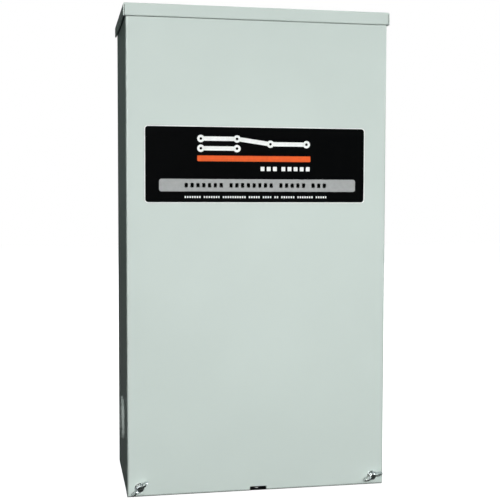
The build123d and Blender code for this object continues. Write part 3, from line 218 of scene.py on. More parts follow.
def notch_shadow_mask(s):
    """1 on the cut edges inside the padlock notch, behind the cover's face: where the paint is turned to a
    painted shadow.
    """
    split = s.node("ShaderNodeSeparateXYZ", Vector=s.place)
    across, deep, up = (split.outputs[axis] for axis in "XYZ")
    limits = (
        s.maths("LESS_THAN", s.maths("ABSOLUTE", across), NOTCH_HALF_WIDTH),
        s.maths("GREATER_THAN", deep, COVER_LOW.y + COVER_SKIN),
        s.maths("LESS_THAN", deep, COVER_LOW.y + NOTCH_DEPTH),
        s.maths("GREATER_THAN", up, COVER_LOW.z + HEM_SKIN),
        s.maths("LESS_THAN", up, COVER_LOW.z + NOTCH_HEIGHT),
    )
    inside = limits[0]
    for limit in limits[1:]:
        inside = s.maths("MULTIPLY", inside, limit)
    return inside


def cabinet_paint():
    """Sage-grey powder coat: fine orange peel, faint cloudiness, edges polished by handling, painted shade
    in crevices and a painted shadow in the padlock notch.
    """
    s = Shader("cabinet_paint")
    base = srgb(203, 214, 209)
    crevice_shade = srgb(14, 18, 17)
    notch_shadow = srgb(5, 6, 6)
    cloud = s.spread(s.noise(9, 3), 0.35, 0.65)
    color = s.blend(cloud, dimmed(base, 0.985), dimmed(base, 1.01))
    speck = s.spread(s.noise(1900, 1), 0.70, 0.76)
    color = s.blend(s.maths("MULTIPLY", speck, 0.10), color, dimmed(base, 0.6))
    worn = s.maths("MULTIPLY", s.edges(1.2 * MM), s.spread(s.noise(60, 4), 0.45, 0.62), clamp=True)
    color = s.blend(s.maths("MULTIPLY", worn, 0.35), color, dimmed(base, 0.72))
    # painted shade: where little open space surrounds the paint, in seams, recesses and inner corners, it
    # goes near-black
    open_sky = s.node("ShaderNodeAmbientOcclusion", {"samples": 6}, Distance=10 * MM).outputs["AO"]
    color = s.blend(s.spread(open_sky, 0.25, 0.6, 0.75, 0.0), color, crevice_shade)
    # painted shadow: the cut edges inside the padlock notch go near-black
    color = s.blend(notch_shadow_mask(s), color, notch_shadow)
    roughness = s.spread(s.noise(35, 3), 0.3, 0.7, 0.40, 0.50)
    sheet = s.bump(s.noise(2.2, 1), 0.12, 1.2 * MM, s.rounded(1.0 * MM))
    peel = s.bump(s.noise(950, 2), 0.22, 0.12 * MM, sheet)
    return s.finish(color, roughness, normal=peel, Coat_Weight=0.12, Coat_Roughness=0.28)


def nameplate_black():
    """Black printed plate with faint dust and hairline scratches."""
    s = Shader("nameplate_black")
    dust = s.spread(s.noise(420, 4), 0.55, 0.75)
    color = s.blend(s.maths("MULTIPLY", dust, 0.03), srgb(2, 2, 3), srgb(40, 42, 42))
    hair = s.spread(s.noise(60, 6, 0.7, s.stretched(z=22)), 0.5, 0.68)
    roughness = s.spread(hair, 0, 1, 0.30, 0.42)
    grain = s.bump(s.noise(700, 2), 0.08, 0.05 * MM)
    return s.finish(color, roughness, normal=grain, Specular_IOR_Level=0.12)


def printed_ink(name, color, roughness=0.42):
    """Screen-printed ink: slightly uneven cover and a fine grain."""
    s = Shader(name)
    cover = s.spread(s.noise(260, 4), 0.35, 0.7)
    shade = s.blend(cover, dimmed(color, 0.90), color)
    rough = s.spread(cover, 0, 1, roughness, roughness + 0.08)
    return s.finish(shade, rough, normal=s.bump(s.noise(1500, 2), 0.15, 0.04 * MM), Specular_IOR_Level=0.2)


def gasket_foam():
    """Closed-cell black foam."""
    s = Shader("gasket_foam")
    cell = s.cells(1300)
    color = s.blend(s.spread(cell, 0.1, 0.6), srgb(16, 16, 17), srgb(40, 40, 42))
    return s.finish(color, 0.95, normal=s.bump(cell, 0.8, 0.4 * MM))


def zinc_plated():
    """Bright zinc plating with a faint blue-yellow cast and rubbed edges."""
    s = Shader("zinc_hardware")
    tint = s.blend(s.spread(s.noise(160, 3), 0.35, 0.65), srgb(186, 192, 196), srgb(205, 208, 204))
    color = s.blend(s.maths("MULTIPLY", s.edges(0.5 * MM), 0.6), tint, srgb(226, 228, 228))
    grime = s.spread(s.noise(300, 5), 0.58, 0.72)
    color = s.blend(s.maths("MULTIPLY", grime, 0.35), color, srgb(92, 94, 92))
    roughness = s.spread(s.noise(500, 3), 0.3, 0.7, 0.22, 0.38)
    return s.finish(color, roughness, 1.0, s.bump(s.noise(1100, 3), 0.25, 0.06 * MM, s.rounded(0.35 * MM)))


def galvanised_sheet():
    """Hot-dip zinc with its spangle."""
    s = Shader("galvanised_sheet")
    spangle = s.cells(95, output="Color", at=s.stretched(y=0.3))
    grey = s.node("ShaderNodeRGBToBW", Color=spangle).outputs[0]
    color = s.blend(grey, srgb(168, 172, 175), srgb(206, 210, 212))
    color = s.blend(s.maths("MULTIPLY", s.edges(0.8 * MM), 0.5), color, srgb(214, 216, 218))
    rough = s.spread(grey, 0, 1, 0.30, 0.46)
    return s.finish(color, rough, 0.45, s.bump(grey, 0.12, 0.05 * MM, s.rounded(0.5 * MM)))


def moulded(name, color, light, grain=1400, roughness=0.5):
    """Plastic moulding: spark-eroded grain, flow clouds, paler edges."""
    s = Shader(name)
    flow = s.spread(s.noise(45, 4), 0.3, 0.7)
    shade = s.blend(flow, dimmed(color, 0.85), dimmed(color, 1.15))
    shade = s.blend(s.maths("MULTIPLY", s.edges(0.6 * MM), 0.5), shade, light)
    rough = s.spread(s.noise(90, 3), 0.3, 0.7, roughness - 0.06, roughness + 0.08)
    return s.finish(shade, rough, normal=s.bump(s.noise(grain, 3), 0.3, 0.10 * MM, s.rounded(0.4 * MM)))


def clear_plastic():
    """Clear polycarbonate with a faint haze and scuffs."""
    s = Shader("clear_plastic")
    tint = (0.93, 0.97, 0.98, 1)
    scuff = s.spread(s.noise(380, 5), 0.56, 0.72, 0.06, 0.28)
    waves = s.bump(s.noise(30, 2), 0.05, 0.2 * MM)
    return s.finish(tint, scuff, normal=waves, Transmission_Weight=0.94, IOR=1.2)


def drawn_metal(name, color, bright, lie, tarnish=None):
    """Extruded or rolled bar: fine lines stretched as its lie says, bright cut edges, maybe tarnish."""
    s = Shader(name)
    lines = s.noise(500, 5, 0.6, s.stretched(*lie))
    shade = s.blend(s.spread(lines, 0.3, 0.7), dimmed(color, 0.86), dimmed(color, 1.08))
    if tarnish:
        shade = s.blend(s.spread(s.noise(55, 5), 0.48, 0.75, 0.0, 0.65), shade, tarnish)
    shade = s.blend(s.maths("MULTIPLY", s.edges(0.5 * MM), 0.6), shade, bright)
    roughness = s.spread(lines, 0.3, 0.7, 0.24, 0.40)
    return s.finish(shade, roughness, 0.7, s.bump(lines, 0.2, 0.05 * MM, s.rounded(0.3 * MM)))


def wound_tape():
    """Coil winding under varnished tape: overlapping turns of tape around Z."""
    s = Shader("coil_tape")
    saw = {"bands_direction": "Z", "wave_profile": "SAW"}
    turns = s.bands(saw, Vector=s.place, Scale=75.0, Distortion=0.6, Detail=1.0)
    color = s.blend(s.spread(turns, 0.0, 1.0), srgb(28, 62, 46), srgb(52, 96, 74))
    color = s.blend(s.spread(s.noise(140, 4), 0.5, 0.7, 0, 0.4), color, srgb(20, 34, 28))
    return s.finish(color, 0.36, normal=s.bump(turns, 0.6, 0.3 * MM), Coat_Weight=0.3, Coat_Roughness=0.2)


def braided_copper():
    """Flexible copper braid: crossing strands."""
    s = Shader("copper_braid")
    slanting = {"bands_direction": "DIAGONAL"}
    one, two = (s.bands(slanting, Vector=s.stretched(x=lean), Scale=420.0) for lean in (1, -1))
    strands = s.maths("MAXIMUM", one, two)
    color = s.blend(strands, srgb(92, 46, 28), srgb(206, 128, 88))
    return s.finish(color, 0.38, 0.9, s.bump(strands, 0.8, 0.35 * MM))


def insulation(name, color):
    """Soft vinyl insulation with a slight sheen."""
    s = Shader(name)
    shade = s.blend(s.spread(s.noise(90, 3), 0.3, 0.7), dimmed(color, 0.82), dimmed(color, 1.1))
    rough = s.spread(s.noise(200, 3), 0.3, 0.7, 0.32, 0.46)
    return s.finish(shade, rough, normal=s.bump(s.noise(900, 2), 0.15, 0.05 * MM))


# scales of a metal's grain along X, Y and Z: long lines along Z, lines square to Y, or no direction
LONG_Z = (1, 1, 0.08)
SQUARE_TO_Y = (1, 14, 1)
EVEN = (1, 1, 1)

SLOT_MATERIALS = {
    "cabinet_paint": cabinet_paint(),
    "nameplate_black": nameplate_black(),
    "gasket_foam": gasket_foam(),
    "zinc_hardware": zinc_plated(),
    "galvanised_sheet": galvanised_sheet(),
    "black_moulding": moulded("black_moulding", srgb(34, 35, 37), srgb(84, 86, 88)),
    "red_moulding": moulded("red_moulding", srgb(142, 48, 36), srgb(186, 96, 78)),
    "clear_plastic": clear_plastic(),
    "aluminium_lug": drawn_metal("aluminium_lug", srgb(190, 193, 196), srgb(226, 228, 230), LONG_Z),
    "copper_bar": drawn_metal(
        "copper_bar", srgb(206, 122, 84), srgb(236, 160, 120), LONG_Z, tarnish=srgb(132, 72, 46)
    ),
    "silver_contact": drawn_metal("silver_contact", srgb(208, 208, 204), srgb(235, 235, 232), EVEN),
    "arc_chute_fibre": moulded("arc_chute_fibre", srgb(150, 140, 122), srgb(186, 178, 160), 700, 0.7),
    "steel_linkage": drawn_metal("steel_linkage", srgb(158, 160, 160), srgb(205, 206, 206), SQUARE_TO_Y),
    "coil_tape": wound_tape(),
    "grip_red": moulded("grip_red", srgb(168, 26, 22), srgb(206, 70, 60), 1800, 0.34),
    "white_moulding": moulded("white_moulding", srgb(214, 212, 204), srgb(234, 232, 226), 1600, 0.5),
    "brass_clip": drawn_metal("brass_clip", srgb(196, 164, 92), srgb(228, 200, 130), EVEN),
    "fuse_body": moulded("fuse_body", srgb(206, 198, 174), srgb(226, 220, 200), 900, 0.62),
}
INK_WHITE = printed_ink("ink_white", srgb(250, 252, 250))
INK_GREY = printed_ink("ink_grey", srgb(170, 172, 172))
INK_ORANGE = printed_ink("ink_orange", srgb(240, 96, 32), 0.36)
INK_BLACK = printed_ink("ink_black", srgb(22, 23, 24))


def dress_cad_nodes():
    """Every CAD node gets its slot's material."""
    for part in frame["record"]["subparts"]:
        node = frame["nodes"][part["node"]]
        node.data.materials.clear()
        node.data.materials.append(SLOT_MATERIALS[part["material_slot"]])


dress_cad_nodes()


# ---------------------------------------------------------------- mesh building
def add_object(name, data):
    made = bpy.data.objects.new(name, data)
    bpy.context.scene.collection.objects.link(made)
    return made


def add_piece(name, mesh, material, body=None, smooth=True):
    """A finished mesh as a named piece. It rides on a body, if one is given."""
    bmesh.ops.recalc_face_normals(mesh, faces=mesh.faces)
    data = bpy.data.meshes.new(name)
    mesh.to_mesh(data)
    mesh.free()
    if smooth:
        data.shade_smooth()
    data.materials.append(material)
    piece = add_object(name, data)
    if body:
        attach(piece, body)
    return piece


def skin(mesh, rings, closed=False):
    """Faces from each ring of vertices to the next, with end caps unless the rings come round again."""
    pairs = list(zip(rings, rings[1:]))
    if closed:
        pairs.append((rings[-1], rings[0]))
    else:
        mesh.faces.new(rings[0][::-1])
        mesh.faces.new(rings[-1])
    for low, high in pairs:
        for k, corner in enumerate(low):
            after = (k + 1) % len(low)
            mesh.faces.new((corner, low[after], high[after], high[k]))


def turned_ring(mesh, centre, axis, reaches):
    """A ring of vertices around an axis, evenly turned, one at each reach from the centre."""
    side = axis.cross(-OUT if abs(axis.y) < 0.9 else RIGHT).normalized()
    other = axis.cross(side)
    ring = []
    for k, reach in enumerate(reaches):
        angle = 2 * math.pi * k / len(reaches)
        ring.append(mesh.verts.new(centre + (side * math.cos(angle) + other * math.sin(angle)) * reach))
    return ring


def lathe(mesh, profile, origin, axis, steps=40, closed=False):
    """Turns (radius, height) pairs around an axis. A closed profile makes a ring."""
    rings = [turned_ring(mesh, origin + axis * height, axis, [radius] * steps) for radius, height in profile]
    skin(mesh, rings, closed)


def threaded_rod(mesh, radius, depth, pitch, origin, axis, length, steps=32):
    """A rod whose surface rises and falls along a helix."""
    rows_per_turn = 4
    rows = rows_per_turn * math.ceil(length / pitch)
    rings = []
    for row in range(rows + 1):
        height = length * row / rows
        phases = [(height / pitch - k / steps) % 1.0 for k in range(steps)]
        reaches = [radius - depth * abs(2 * phase - 1) for phase in phases]
        rings.append(turned_ring(mesh, origin + axis * height, axis, reaches))
    skin(mesh, rings)


# ---------------------------------------------------------------- outlines and printing
INK_LAYER = 0.15 * MM


def front_of(node):
    """Centre of a node's foremost face."""
    low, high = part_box(node)
    return Vector(((low.x + high.x) / 2, low.y, (low.z + high.z) / 2))


# a printed face: its centre, the body it rides on and its CAD slot
PLATE = (front_of("nameplate"), "front_cover", "nameplate_black")
BREAKER_NOSE = (front_of("breaker_case"), "cabinet", "black_moulding")


def rounded_rectangle(width, height, radius, steps=6, centre=(0.0, 0.0)):
    """Outline points of a rectangle with round corners."""
    points = []
    for corner, (side_x, side_z) in enumerate(((1, 1), (-1, 1), (-1, -1), (1, -1))):
        middle_x = centre[0] + side_x * (width / 2 - radius)
        middle_z = centre[1] + side_z * (height / 2 - radius)
        for step in range(steps + 1):
            angle = math.pi / 2 * (corner + step / steps)
            points.append((middle_x + radius * math.cos(angle), middle_z + radius * math.sin(angle)))
    return points


def disc(radius, centre, steps=28):
    """Outline points of a circle."""
    angles = [2 * math.pi * k / steps for k in range(steps)]
    return [(centre[0] + radius * math.cos(a), centre[1] + radius * math.sin(a)) for a in angles]


def stroke(start, end, width):
    """Outline of a straight line with square ends."""
    start, end = Vector(start), Vector(end)
    along = end - start
    across = Vector((-along.y, along.x)).normalized() * width / 2
    return [tuple(corner) for corner in (start - across, end - across, end + across, start + across)]


def print_on(surface, name, outlines, material, holes=()):
    """Thin raised ink on a face. Outlines are across and up from the face's centre; each outline with a
    hole of the same number of points is a ring."""
    centre, body, slot_name = surface
    back, front = centre.y, centre.y - INK_LAYER
    mesh = bmesh.new()

    def ring(points, depth):
        return [mesh.verts.new((centre.x + x, depth, centre.z + z)) for x, z in points]

    for index, outline in enumerate(outlines):
        rings = [ring(outline, front), ring(outline, back)]
        hollow = index < len(holes)
        if hollow:
            rings += [ring(holes[index], back), ring(holes[index], front)]
        skin(mesh, rings, closed=hollow)
    add_piece(name, mesh, material, body, smooth=False)


def plate_border():
    width, height = PLATE_HIGH.x - PLATE_LOW.x, PLATE_HIGH.z - PLATE_LOW.z
    line = 1.1 * MM
    corner = 5.0 * MM
    outer = rounded_rectangle(width, height, corner)
    inner = rounded_rectangle(width - 2 * line, height - 2 * line, corner - line)
    print_on(PLATE, "nameplate_border", [outer], INK_WHITE, [inner])


GREY_BAR_SIZE = (259 * MM, 16 * MM)
GREY_BAR_CENTRE = (2.9 * MM, -26.4 * MM)
ORANGE_BAR_SIZE = (149 * MM, 7.4 * MM)
ORANGE_BAR_CENTRE = (-3.1 * MM, 8.0 * MM)


def plate_bars():
    grey = rounded_rectangle(*GREY_BAR_SIZE, 3 * MM, centre=GREY_BAR_CENTRE)
    print_on(PLATE, "nameplate_grey_bar", [grey], INK_GREY)
    orange = rounded_rectangle(*ORANGE_BAR_SIZE, 1 * MM, centre=ORANGE_BAR_CENTRE)
    print_on(PLATE, "nameplate_orange_bar", [orange], INK_ORANGE)


def changeover_symbol():
    """The generic schematic sign of a changeover switch: two sources on the left, a blade and a load."""
    line = 5.6 * MM
    middle = 27.0 * MM
    rise = 6.2 * MM
    ring, hole = 4.8 * MM, 1.7 * MM
    overlap = 0.5 * MM
    clear = ring - overlap
    left, contact, pivot, right = -73 * MM, -26 * MM, 18 * MM, 66 * MM
    upper, lower = middle + rise, middle - rise
    terminals = [(x, z) for z in (upper, lower) for x in (left, contact)]
    terminals += [(pivot, middle), (right, middle)]
    print_on(
        PLATE,
        "nameplate_symbol_terminals",
        [disc(ring, place) for place in terminals],
        INK_WHITE,
        [disc(hole, place) for place in terminals],
    )
    tilt = math.atan2(rise, contact - pivot)
    blade_start = (pivot + clear * math.cos(tilt), middle + clear * math.sin(tilt))
    blade_end = (contact - clear * math.cos(tilt), upper - clear * math.sin(tilt))
    lines = [
        stroke((left + clear, upper), (contact - clear, upper), line),
        stroke((left + clear, lower), (contact - clear, lower), line),
        stroke((pivot + clear, middle), (right - clear, middle), line),
        stroke(blade_start, blade_end, line),
    ]
    print_on(PLATE, "nameplate_symbol_lines", lines, INK_WHITE)


BLOCK_CORNER_SHARE = 0.12
BLOCK_ROW_LEFT = -94 * MM


def blocks(left, centre_up, size, gap, groups, group_gap):
    """Plain upright blocks in groups, left to right: filler where such a plate carries small print."""
    width, height = size
    made = []
    place = left
    for count in groups:
        for _ in range(count):
            centre = (place + width / 2, centre_up)
            made.append(rounded_rectangle(width, height, height * BLOCK_CORNER_SHARE, 2, centre))
            place += width + gap
        place += group_gap
    return made


def plate_blocks():
    """A short row under the sign, a row on the grey bar and a fine row below it."""
    short = blocks(
        left=5 * MM,
        centre_up=-5 * MM,
        size=(5.2 * MM, 5.6 * MM),
        gap=3 * MM,
        groups=(3, 5),
        group_gap=3 * MM,
    )
    print_on(PLATE, "nameplate_small_blocks", short, INK_WHITE)
    on_bar = blocks(
        left=BLOCK_ROW_LEFT,
        centre_up=GREY_BAR_CENTRE[1],
        size=(4.2 * MM, 5.8 * MM),
        gap=3.35 * MM,
        groups=(7, 8, 5, 3),
        group_gap=5.4 * MM,
    )
    print_on(PLATE, "nameplate_bar_blocks", on_bar, INK_BLACK)
    fine = blocks(
        left=BLOCK_ROW_LEFT,
        centre_up=-41.5 * MM,
        size=(1.9 * MM, 2.6 * MM),
        gap=1.22 * MM,
        groups=(7, 7, 10, 5, 4, 2, 6, 7, 5),
        group_gap=2.9 * MM,
    )
    print_on(PLATE, "nameplate_fine_blocks", fine, INK_WHITE)


def breaker_marks():
    """The generic on and off signs, a line above the handle and a ring below it."""
    above = 23.5 * MM
    half_length = 2.5 * MM
    line = 1.1 * MM
    ring, hole = 2.7 * MM, 1.7 * MM
    on_line = stroke((0, above - half_length), (0, above + half_length), line)
    print_on(BREAKER_NOSE, "breaker_on_mark", [on_line], INK_WHITE)
    below = (0, -above)
    print_on(BREAKER_NOSE, "breaker_off_mark", [disc(ring, below)], INK_WHITE, [disc(hole, below)])


plate_border()
plate_bars()
changeover_symbol()
plate_blocks()
breaker_marks()


# ---------------------------------------------------------------- wing screws
WING_TURN = {"wing_screw_left": 40.0, "wing_screw_right": 21.0}  # degrees from level
WASHER_PROFILE = [(3.2, 0.0), (6.0, 0.0), (6.2, 0.2), (6.2, 0.8), (6.0, 1.0), (3.2, 1.0)]  # mm
HUB_PROFILE = [(3.2, 0.9), (4.4, 1.0), (4.6, 1.5), (4.3, 5.6), (3.9, 6.6), (2.8, 7.0), (1.2, 6.8)]  # mm
THREAD_RADIUS = 2.98 * MM
THREAD_DEPTH = 0.45 * MM
THREAD_PITCH = 1.25 * MM
THREAD_LENGTH = 16 * MM
# the two wings: an ellipse on each side and a bridge across the hub, as (across, out) from the cover's face
LOBE_CENTRE = (8.2 * MM, 7.2 * MM)
LOBE_RADII = (5.1 * MM, 4.5 * MM)
BRIDGE_HALF = 7.0 * MM
BRIDGE_BAND = (1.9 * MM, 6.2 * MM)
WING_HALF_THICKNESS = 1.15 * MM
WING_ROUNDING = 0.55 * MM
WING_STEPS = 56
TIP_SHARE = 0.999  # the wings end just short of the ellipses' tips, where their height would be nothing


def in_metres(profile):
    return [(radius * MM, height * MM) for radius, height in profile]


def wing_band(across):
    """Lowest and highest point of the wings at this distance from the screw's axis."""
    low, high = BRIDGE_BAND
    inside = 1 - ((abs(across) - LOBE_CENTRE[0]) / LOBE_RADII[0]) ** 2
    rise = LOBE_RADII[1] * math.sqrt(max(inside, 0.0))
    if abs(across) > BRIDGE_HALF:
        return LOBE_CENTRE[1] - rise, LOBE_CENTRE[1] + rise
    if inside > 0:
        return min(low, LOBE_CENTRE[1] - rise), max(high, LOBE_CENTRE[1] + rise)
    return low, high


def add_screw_head(body, centre):
    """The washer, the hub and the threaded shank."""
    mesh = bmesh.new()
    lathe(mesh, in_metres(WASHER_PROFILE), centre, OUT, closed=True)
    lathe(mesh, in_metres(HUB_PROFILE), centre, OUT)
    threaded_rod(mesh, THREAD_RADIUS, THREAD_DEPTH, THREAD_PITCH, centre, -OUT, THREAD_LENGTH)
    piece = add_piece(f"{body}_head", mesh, SLOT_MATERIALS["zinc_hardware"], body)
    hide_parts(body)


def add_wings(body, centre):
    """The two pressed wings, in steps across that are closest together at the round ends."""
    turn = math.radians(WING_TURN[body])
    along = Vector((math.cos(turn), 0, math.sin(turn)))
    across = Vector((-math.sin(turn), 0, math.cos(turn))) * WING_HALF_THICKNESS
    reach = LOBE_CENTRE[0] + LOBE_RADII[0] * TIP_SHARE
    mesh = bmesh.new()
    rings = []
    for k in range(WING_STEPS + 1):
        place = -reach * math.cos(math.pi * k / WING_STEPS)
        low, high = wing_band(place)
        corners = ((-1, low), (-1, high), (1, high), (1, low))
        middle = centre + along * place
        rings.append([mesh.verts.new(middle + across * side + OUT * rise) for side, rise in corners])
    skin(mesh, rings)
    wings = add_piece(f"{body}_wings", mesh, SLOT_MATERIALS["zinc_hardware"], body)
    rounding = wings.modifiers.new("rounding", "BEVEL")
    rounding.width = WING_ROUNDING
    rounding.segments = 3
    rounding.limit_method = "ANGLE"
    rounding.angle_limit = math.radians(50)


def add_wing_screws():
    for body in WING_TURN:
        centre = Vector(JOINTS[f"{body}_turn"]["pos_m"])
        add_screw_head(body, centre)
        add_wings(body, centre)


add_wing_screws()


# ---------------------------------------------------------------- coils
BOBBIN_BORE = 8.6 * MM
BOBBIN_TUBE = 10.2 * MM
BOBBIN_FLANGE = 3.0 * MM
WINDING_INSET = 2.0 * MM
TURN_PITCH = 0.9 * MM
TURN_DIPS = ((0.0, 0.35), (0.25, 0.08), (0.5, 0.0), (0.75, 0.08))  # share of a turn, depth in mm
COIL_STEPS = 56


def bobbin_profile(outer, length):
    top = length - BOBBIN_FLANGE
    return [
        (BOBBIN_BORE, 0),
        (outer, 0),
        (outer, BOBBIN_FLANGE),
        (BOBBIN_TUBE, BOBBIN_FLANGE),
        (BOBBIN_TUBE, top),
        (outer, top),
        (outer, length),
        (BOBBIN_BORE, length),
    ]


def winding_profile(outer, length):
    """The tube's wall and a ridge for every turn of tape."""
    top = length - BOBBIN_FLANGE
    wound = outer - WINDING_INSET
    height = length - 2 * BOBBIN_FLANGE
    turns = math.floor(height / TURN_PITCH)
    pitch = height / turns
    profile = [(BOBBIN_TUBE, BOBBIN_FLANGE)]
    for turn in range(turns):
        for share, dip in TURN_DIPS:
            profile.append((wound - dip * MM, BOBBIN_FLANGE + pitch * (turn + share)))
    deepest = TURN_DIPS[0][1] * MM
    return profile + [(wound - deepest, top), (BOBBIN_TUBE, top)]


def add_coil(node):
    """A bobbin with two flanges and a ridged, taped winding between them."""
    low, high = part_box(node)
    foot = Vector(((low.x + high.x) / 2, (low.y + high.y) / 2, low.z))
    length = high.z - low.z
    outer = (high.x - low.x) / 2
    pieces = (
        ("bobbin", bobbin_profile(outer, length), "black_moulding", False),
        ("winding", winding_profile(outer, length), "coil_tape", True),
    )
    for name, profile, slot_name, smooth in pieces:
        mesh = bmesh.new()
        lathe(mesh, profile, foot, UP, COIL_STEPS, closed=True)
        piece = add_piece(f"{node}_{name}", mesh, SLOT_MATERIALS[slot_name], "cabinet", smooth)
        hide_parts(node)


for coil in ("utility_coil", "generator_coil"):
    add_coil(coil)


# ---------------------------------------------------------------- braids
SHAFT_CENTRE = Vector(JOINTS["transfer_turn"]["pos_m"])
ARM_LEAN = math.radians(JOINTS["transfer_turn"]["range_deg"][1] / 2)  # at rest, half the shaft's travel
ARM_FOOT_REACH = 15.6 * MM
BRAID_THICKNESS = 2.6 * MM
BRAID_WIDTH = 10.0 * MM
BRAID_CORNER = 0.9 * MM


def smooth_path(points, steps):
    """A Catmull-Rom curve through the points, as evenly stepped places."""
    padded = [points[0] * 2 - points[1], *points, points[-1] * 2 - points[-2]]
    path = []
    for k in range(len(points) - 1):
        a, b, c, d = padded[k : k + 4]
        bend = 2 * a - 5 * b + 4 * c - d
        twist = 3 * b - a - 3 * c + d
        for step in range(steps):
            s = step / steps
            path.append(0.5 * (2 * b + (c - a) * s + bend * s**2 + twist * s**3))
    path.append(points[-1])
    return path


def add_braid(name, across, braid_material):
    """A flat flexible braid: up the load bar's face, across the gap, and up behind the moving arm's foot."""
    foot_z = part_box("load_braids")[0].z
    bar_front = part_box("load_bus_bars")[0].y
    on_bar = bar_front - BRAID_THICKNESS / 2
    on_arm = SHAFT_CENTRE + Vector((0, math.cos(ARM_LEAN), math.sin(ARM_LEAN))) * ARM_FOOT_REACH
    shaft_z = SHAFT_CENTRE.z
    points = [
        Vector((across, on_bar, foot_z + 1 * MM)),
        Vector((across, on_bar, foot_z + 14 * MM)),
        Vector((across, bar_front - 4 * MM, foot_z + 26 * MM)),
        Vector((across, on_arm.y + 1 * MM, shaft_z - 22 * MM)),
        Vector((across, on_arm.y, shaft_z - 8 * MM)),
        Vector((across, on_arm.y, on_arm.z)),
    ]
    path = smooth_path(points, 12)
    section = rounded_rectangle(BRAID_WIDTH, BRAID_THICKNESS, BRAID_CORNER, 3)
    mesh = bmesh.new()
    rings = []
    for k, place in enumerate(path):
        ahead = (path[min(k + 1, len(path) - 1)] - path[max(k - 1, 0)]).normalized()
        normal = ahead.cross(RIGHT)
        rings.append([mesh.verts.new(place + RIGHT * x + normal * y) for x, y in section])
    skin(mesh, rings)
    piece = add_piece(name, mesh, braid_material)
    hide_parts("load_braids")
    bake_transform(piece)


def add_braids():
    low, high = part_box("load_braids")
    material = braided_copper()
    add_braid("left_load_braid", low.x + BRAID_WIDTH / 2, material)
    add_braid("right_load_braid", high.x - BRAID_WIDTH / 2, material)


add_braids()


# ---------------------------------------------------------------- control wiring
WIRE_COLORS = {
    "red": insulation("wire_red", srgb(176, 30, 26)),
    "blue": insulation("wire_blue", srgb(34, 66, 150)),
    "yellow": insulation("wire_yellow", srgb(214, 180, 40)),
    "white": insulation("wire_white", srgb(214, 214, 208)),
    "green": insulation("wire_green", srgb(40, 122, 62)),
    "black": insulation("wire_black", srgb(24, 24, 26)),
}
WIRE_RADIUS = 1.3 * MM
LANE_WIDTH = 2 * WIRE_RADIUS + 0.2 * MM
WIRE_BEND = 7 * MM

STRIP_LOW, STRIP_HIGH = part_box("terminal_screws")
STRIP_ROWS = 10
HARNESS_X = STRIP_LOW.x - 15 * MM
HARNESS_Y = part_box("mounting_panel")[0].y - WIRE_RADIUS - 0.3 * MM  # just off the panel's face
LOWER_RUN_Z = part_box("switch_base")[0].z - 24 * MM


def round_turns(points, radius):
    """Each inner corner becomes two places, one on either side of it."""
    longest_share = 0.4
    made = [points[0]]
    for before, corner, after in zip(points, points[1:], points[2:]):
        for neighbour in (before, after):
            leg = neighbour - corner
            made.append(corner + leg.normalized() * min(radius, leg.length * longest_share))
    made.append(points[-1])
    return made


def add_wire(name, color, points):
    """An insulated wire through these places, rounded at the turns."""
    data = bpy.data.curves.new(name, "CURVE")
    data.dimensions = "3D"
    data.bevel_depth = WIRE_RADIUS
    data.bevel_resolution = 3
    data.use_fill_caps = True
    spline = data.splines.new("POLY")
    path = smooth_path(round_turns([Vector(point) for point in points], WIRE_BEND), 4)
    spline.points.add(len(path) - 1)
    for point, place in zip(spline.points, path):
        point.co = (*place, 1.0)
    data.materials.append(WIRE_COLORS[color])
    wire = add_object(name, data)
    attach(wire, "cabinet")


def row_z(row):
    """Height of a terminal screw, counted from the bottom."""
    return STRIP_LOW.z + (STRIP_HIGH.z - STRIP_LOW.z) * (row + 0.5) / STRIP_ROWS


def off_screw(row):
    """From under a terminal screw to clear of the strip."""
    return [
        (STRIP_LOW.x + 4 * MM, STRIP_LOW.y - 1.0 * MM, row_z(row)),
        (STRIP_LOW.x - 4 * MM, STRIP_LOW.y - 2.2 * MM, row_z(row)),
    ]


def lane_x(lane):
    """Where a lane of the harness beside the strip runs."""
    return HARNESS_X - lane * LANE_WIDTH


def to_lane(row, lane):
    """From a terminal screw out to a lane of the harness."""
    return off_screw(row) + [(lane_x(lane), HARNESS_Y - LANE_WIDTH, row_z(row))]


def coil_leads():
    """Down the harness, left below the switch's base and up to the coil's side. Rows and lanes match."""
    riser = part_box("generator_coil")[1].x - 30 * MM
    for name, color, lane, coil, height in (
        ("generator_coil_lead_a", "yellow", 0, "generator_coil", 10 * MM),
        ("generator_coil_lead_b", "blue", 1, "generator_coil", 30 * MM),
        ("utility_coil_lead_a", "red", 2, "utility_coil", 12 * MM),
        ("utility_coil_lead_b", "white", 3, "utility_coil", 32 * MM),
    ):
        low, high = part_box(coil)
        middle_y = (low.y + high.y) / 2
        entry_z = low.z + height
        run_z = LOWER_RUN_Z - lane * LANE_WIDTH
        riser_x = riser - lane * LANE_WIDTH
        points = to_lane(lane, lane) + [
            (lane_x(lane), HARNESS_Y, row_z(lane) - 10 * MM),
            (lane_x(lane), HARNESS_Y, run_z),
            (riser_x, HARNESS_Y, run_z),
            (riser_x, HARNESS_Y, entry_z - 8 * MM),
            (low.x - 4 * MM, middle_y + 12 * MM, entry_z - 4 * MM),
            (low.x + 3.2 * MM, middle_y, entry_z),
        ]
        add_wire(name, color, points)


def limit_leads():
    """Straight along the harness and left into a position switch. Rows and lanes match."""
    low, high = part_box("limit_switches")
    entry_y = low.y + 14 * MM
    for name, color, row, z in (
        ("generator_limit_lead", "green", 4, low.z + 8 * MM),
        ("utility_limit_lead", "black", 5, high.z - 8 * MM),
    ):
        points = to_lane(row, row) + [
            (lane_x(row), HARNESS_Y - LANE_WIDTH, z),
            (high.x + 4 * MM, entry_y, z),
            (high.x - 1 * MM, entry_y, z),
        ]
        add_wire(name, color, points)


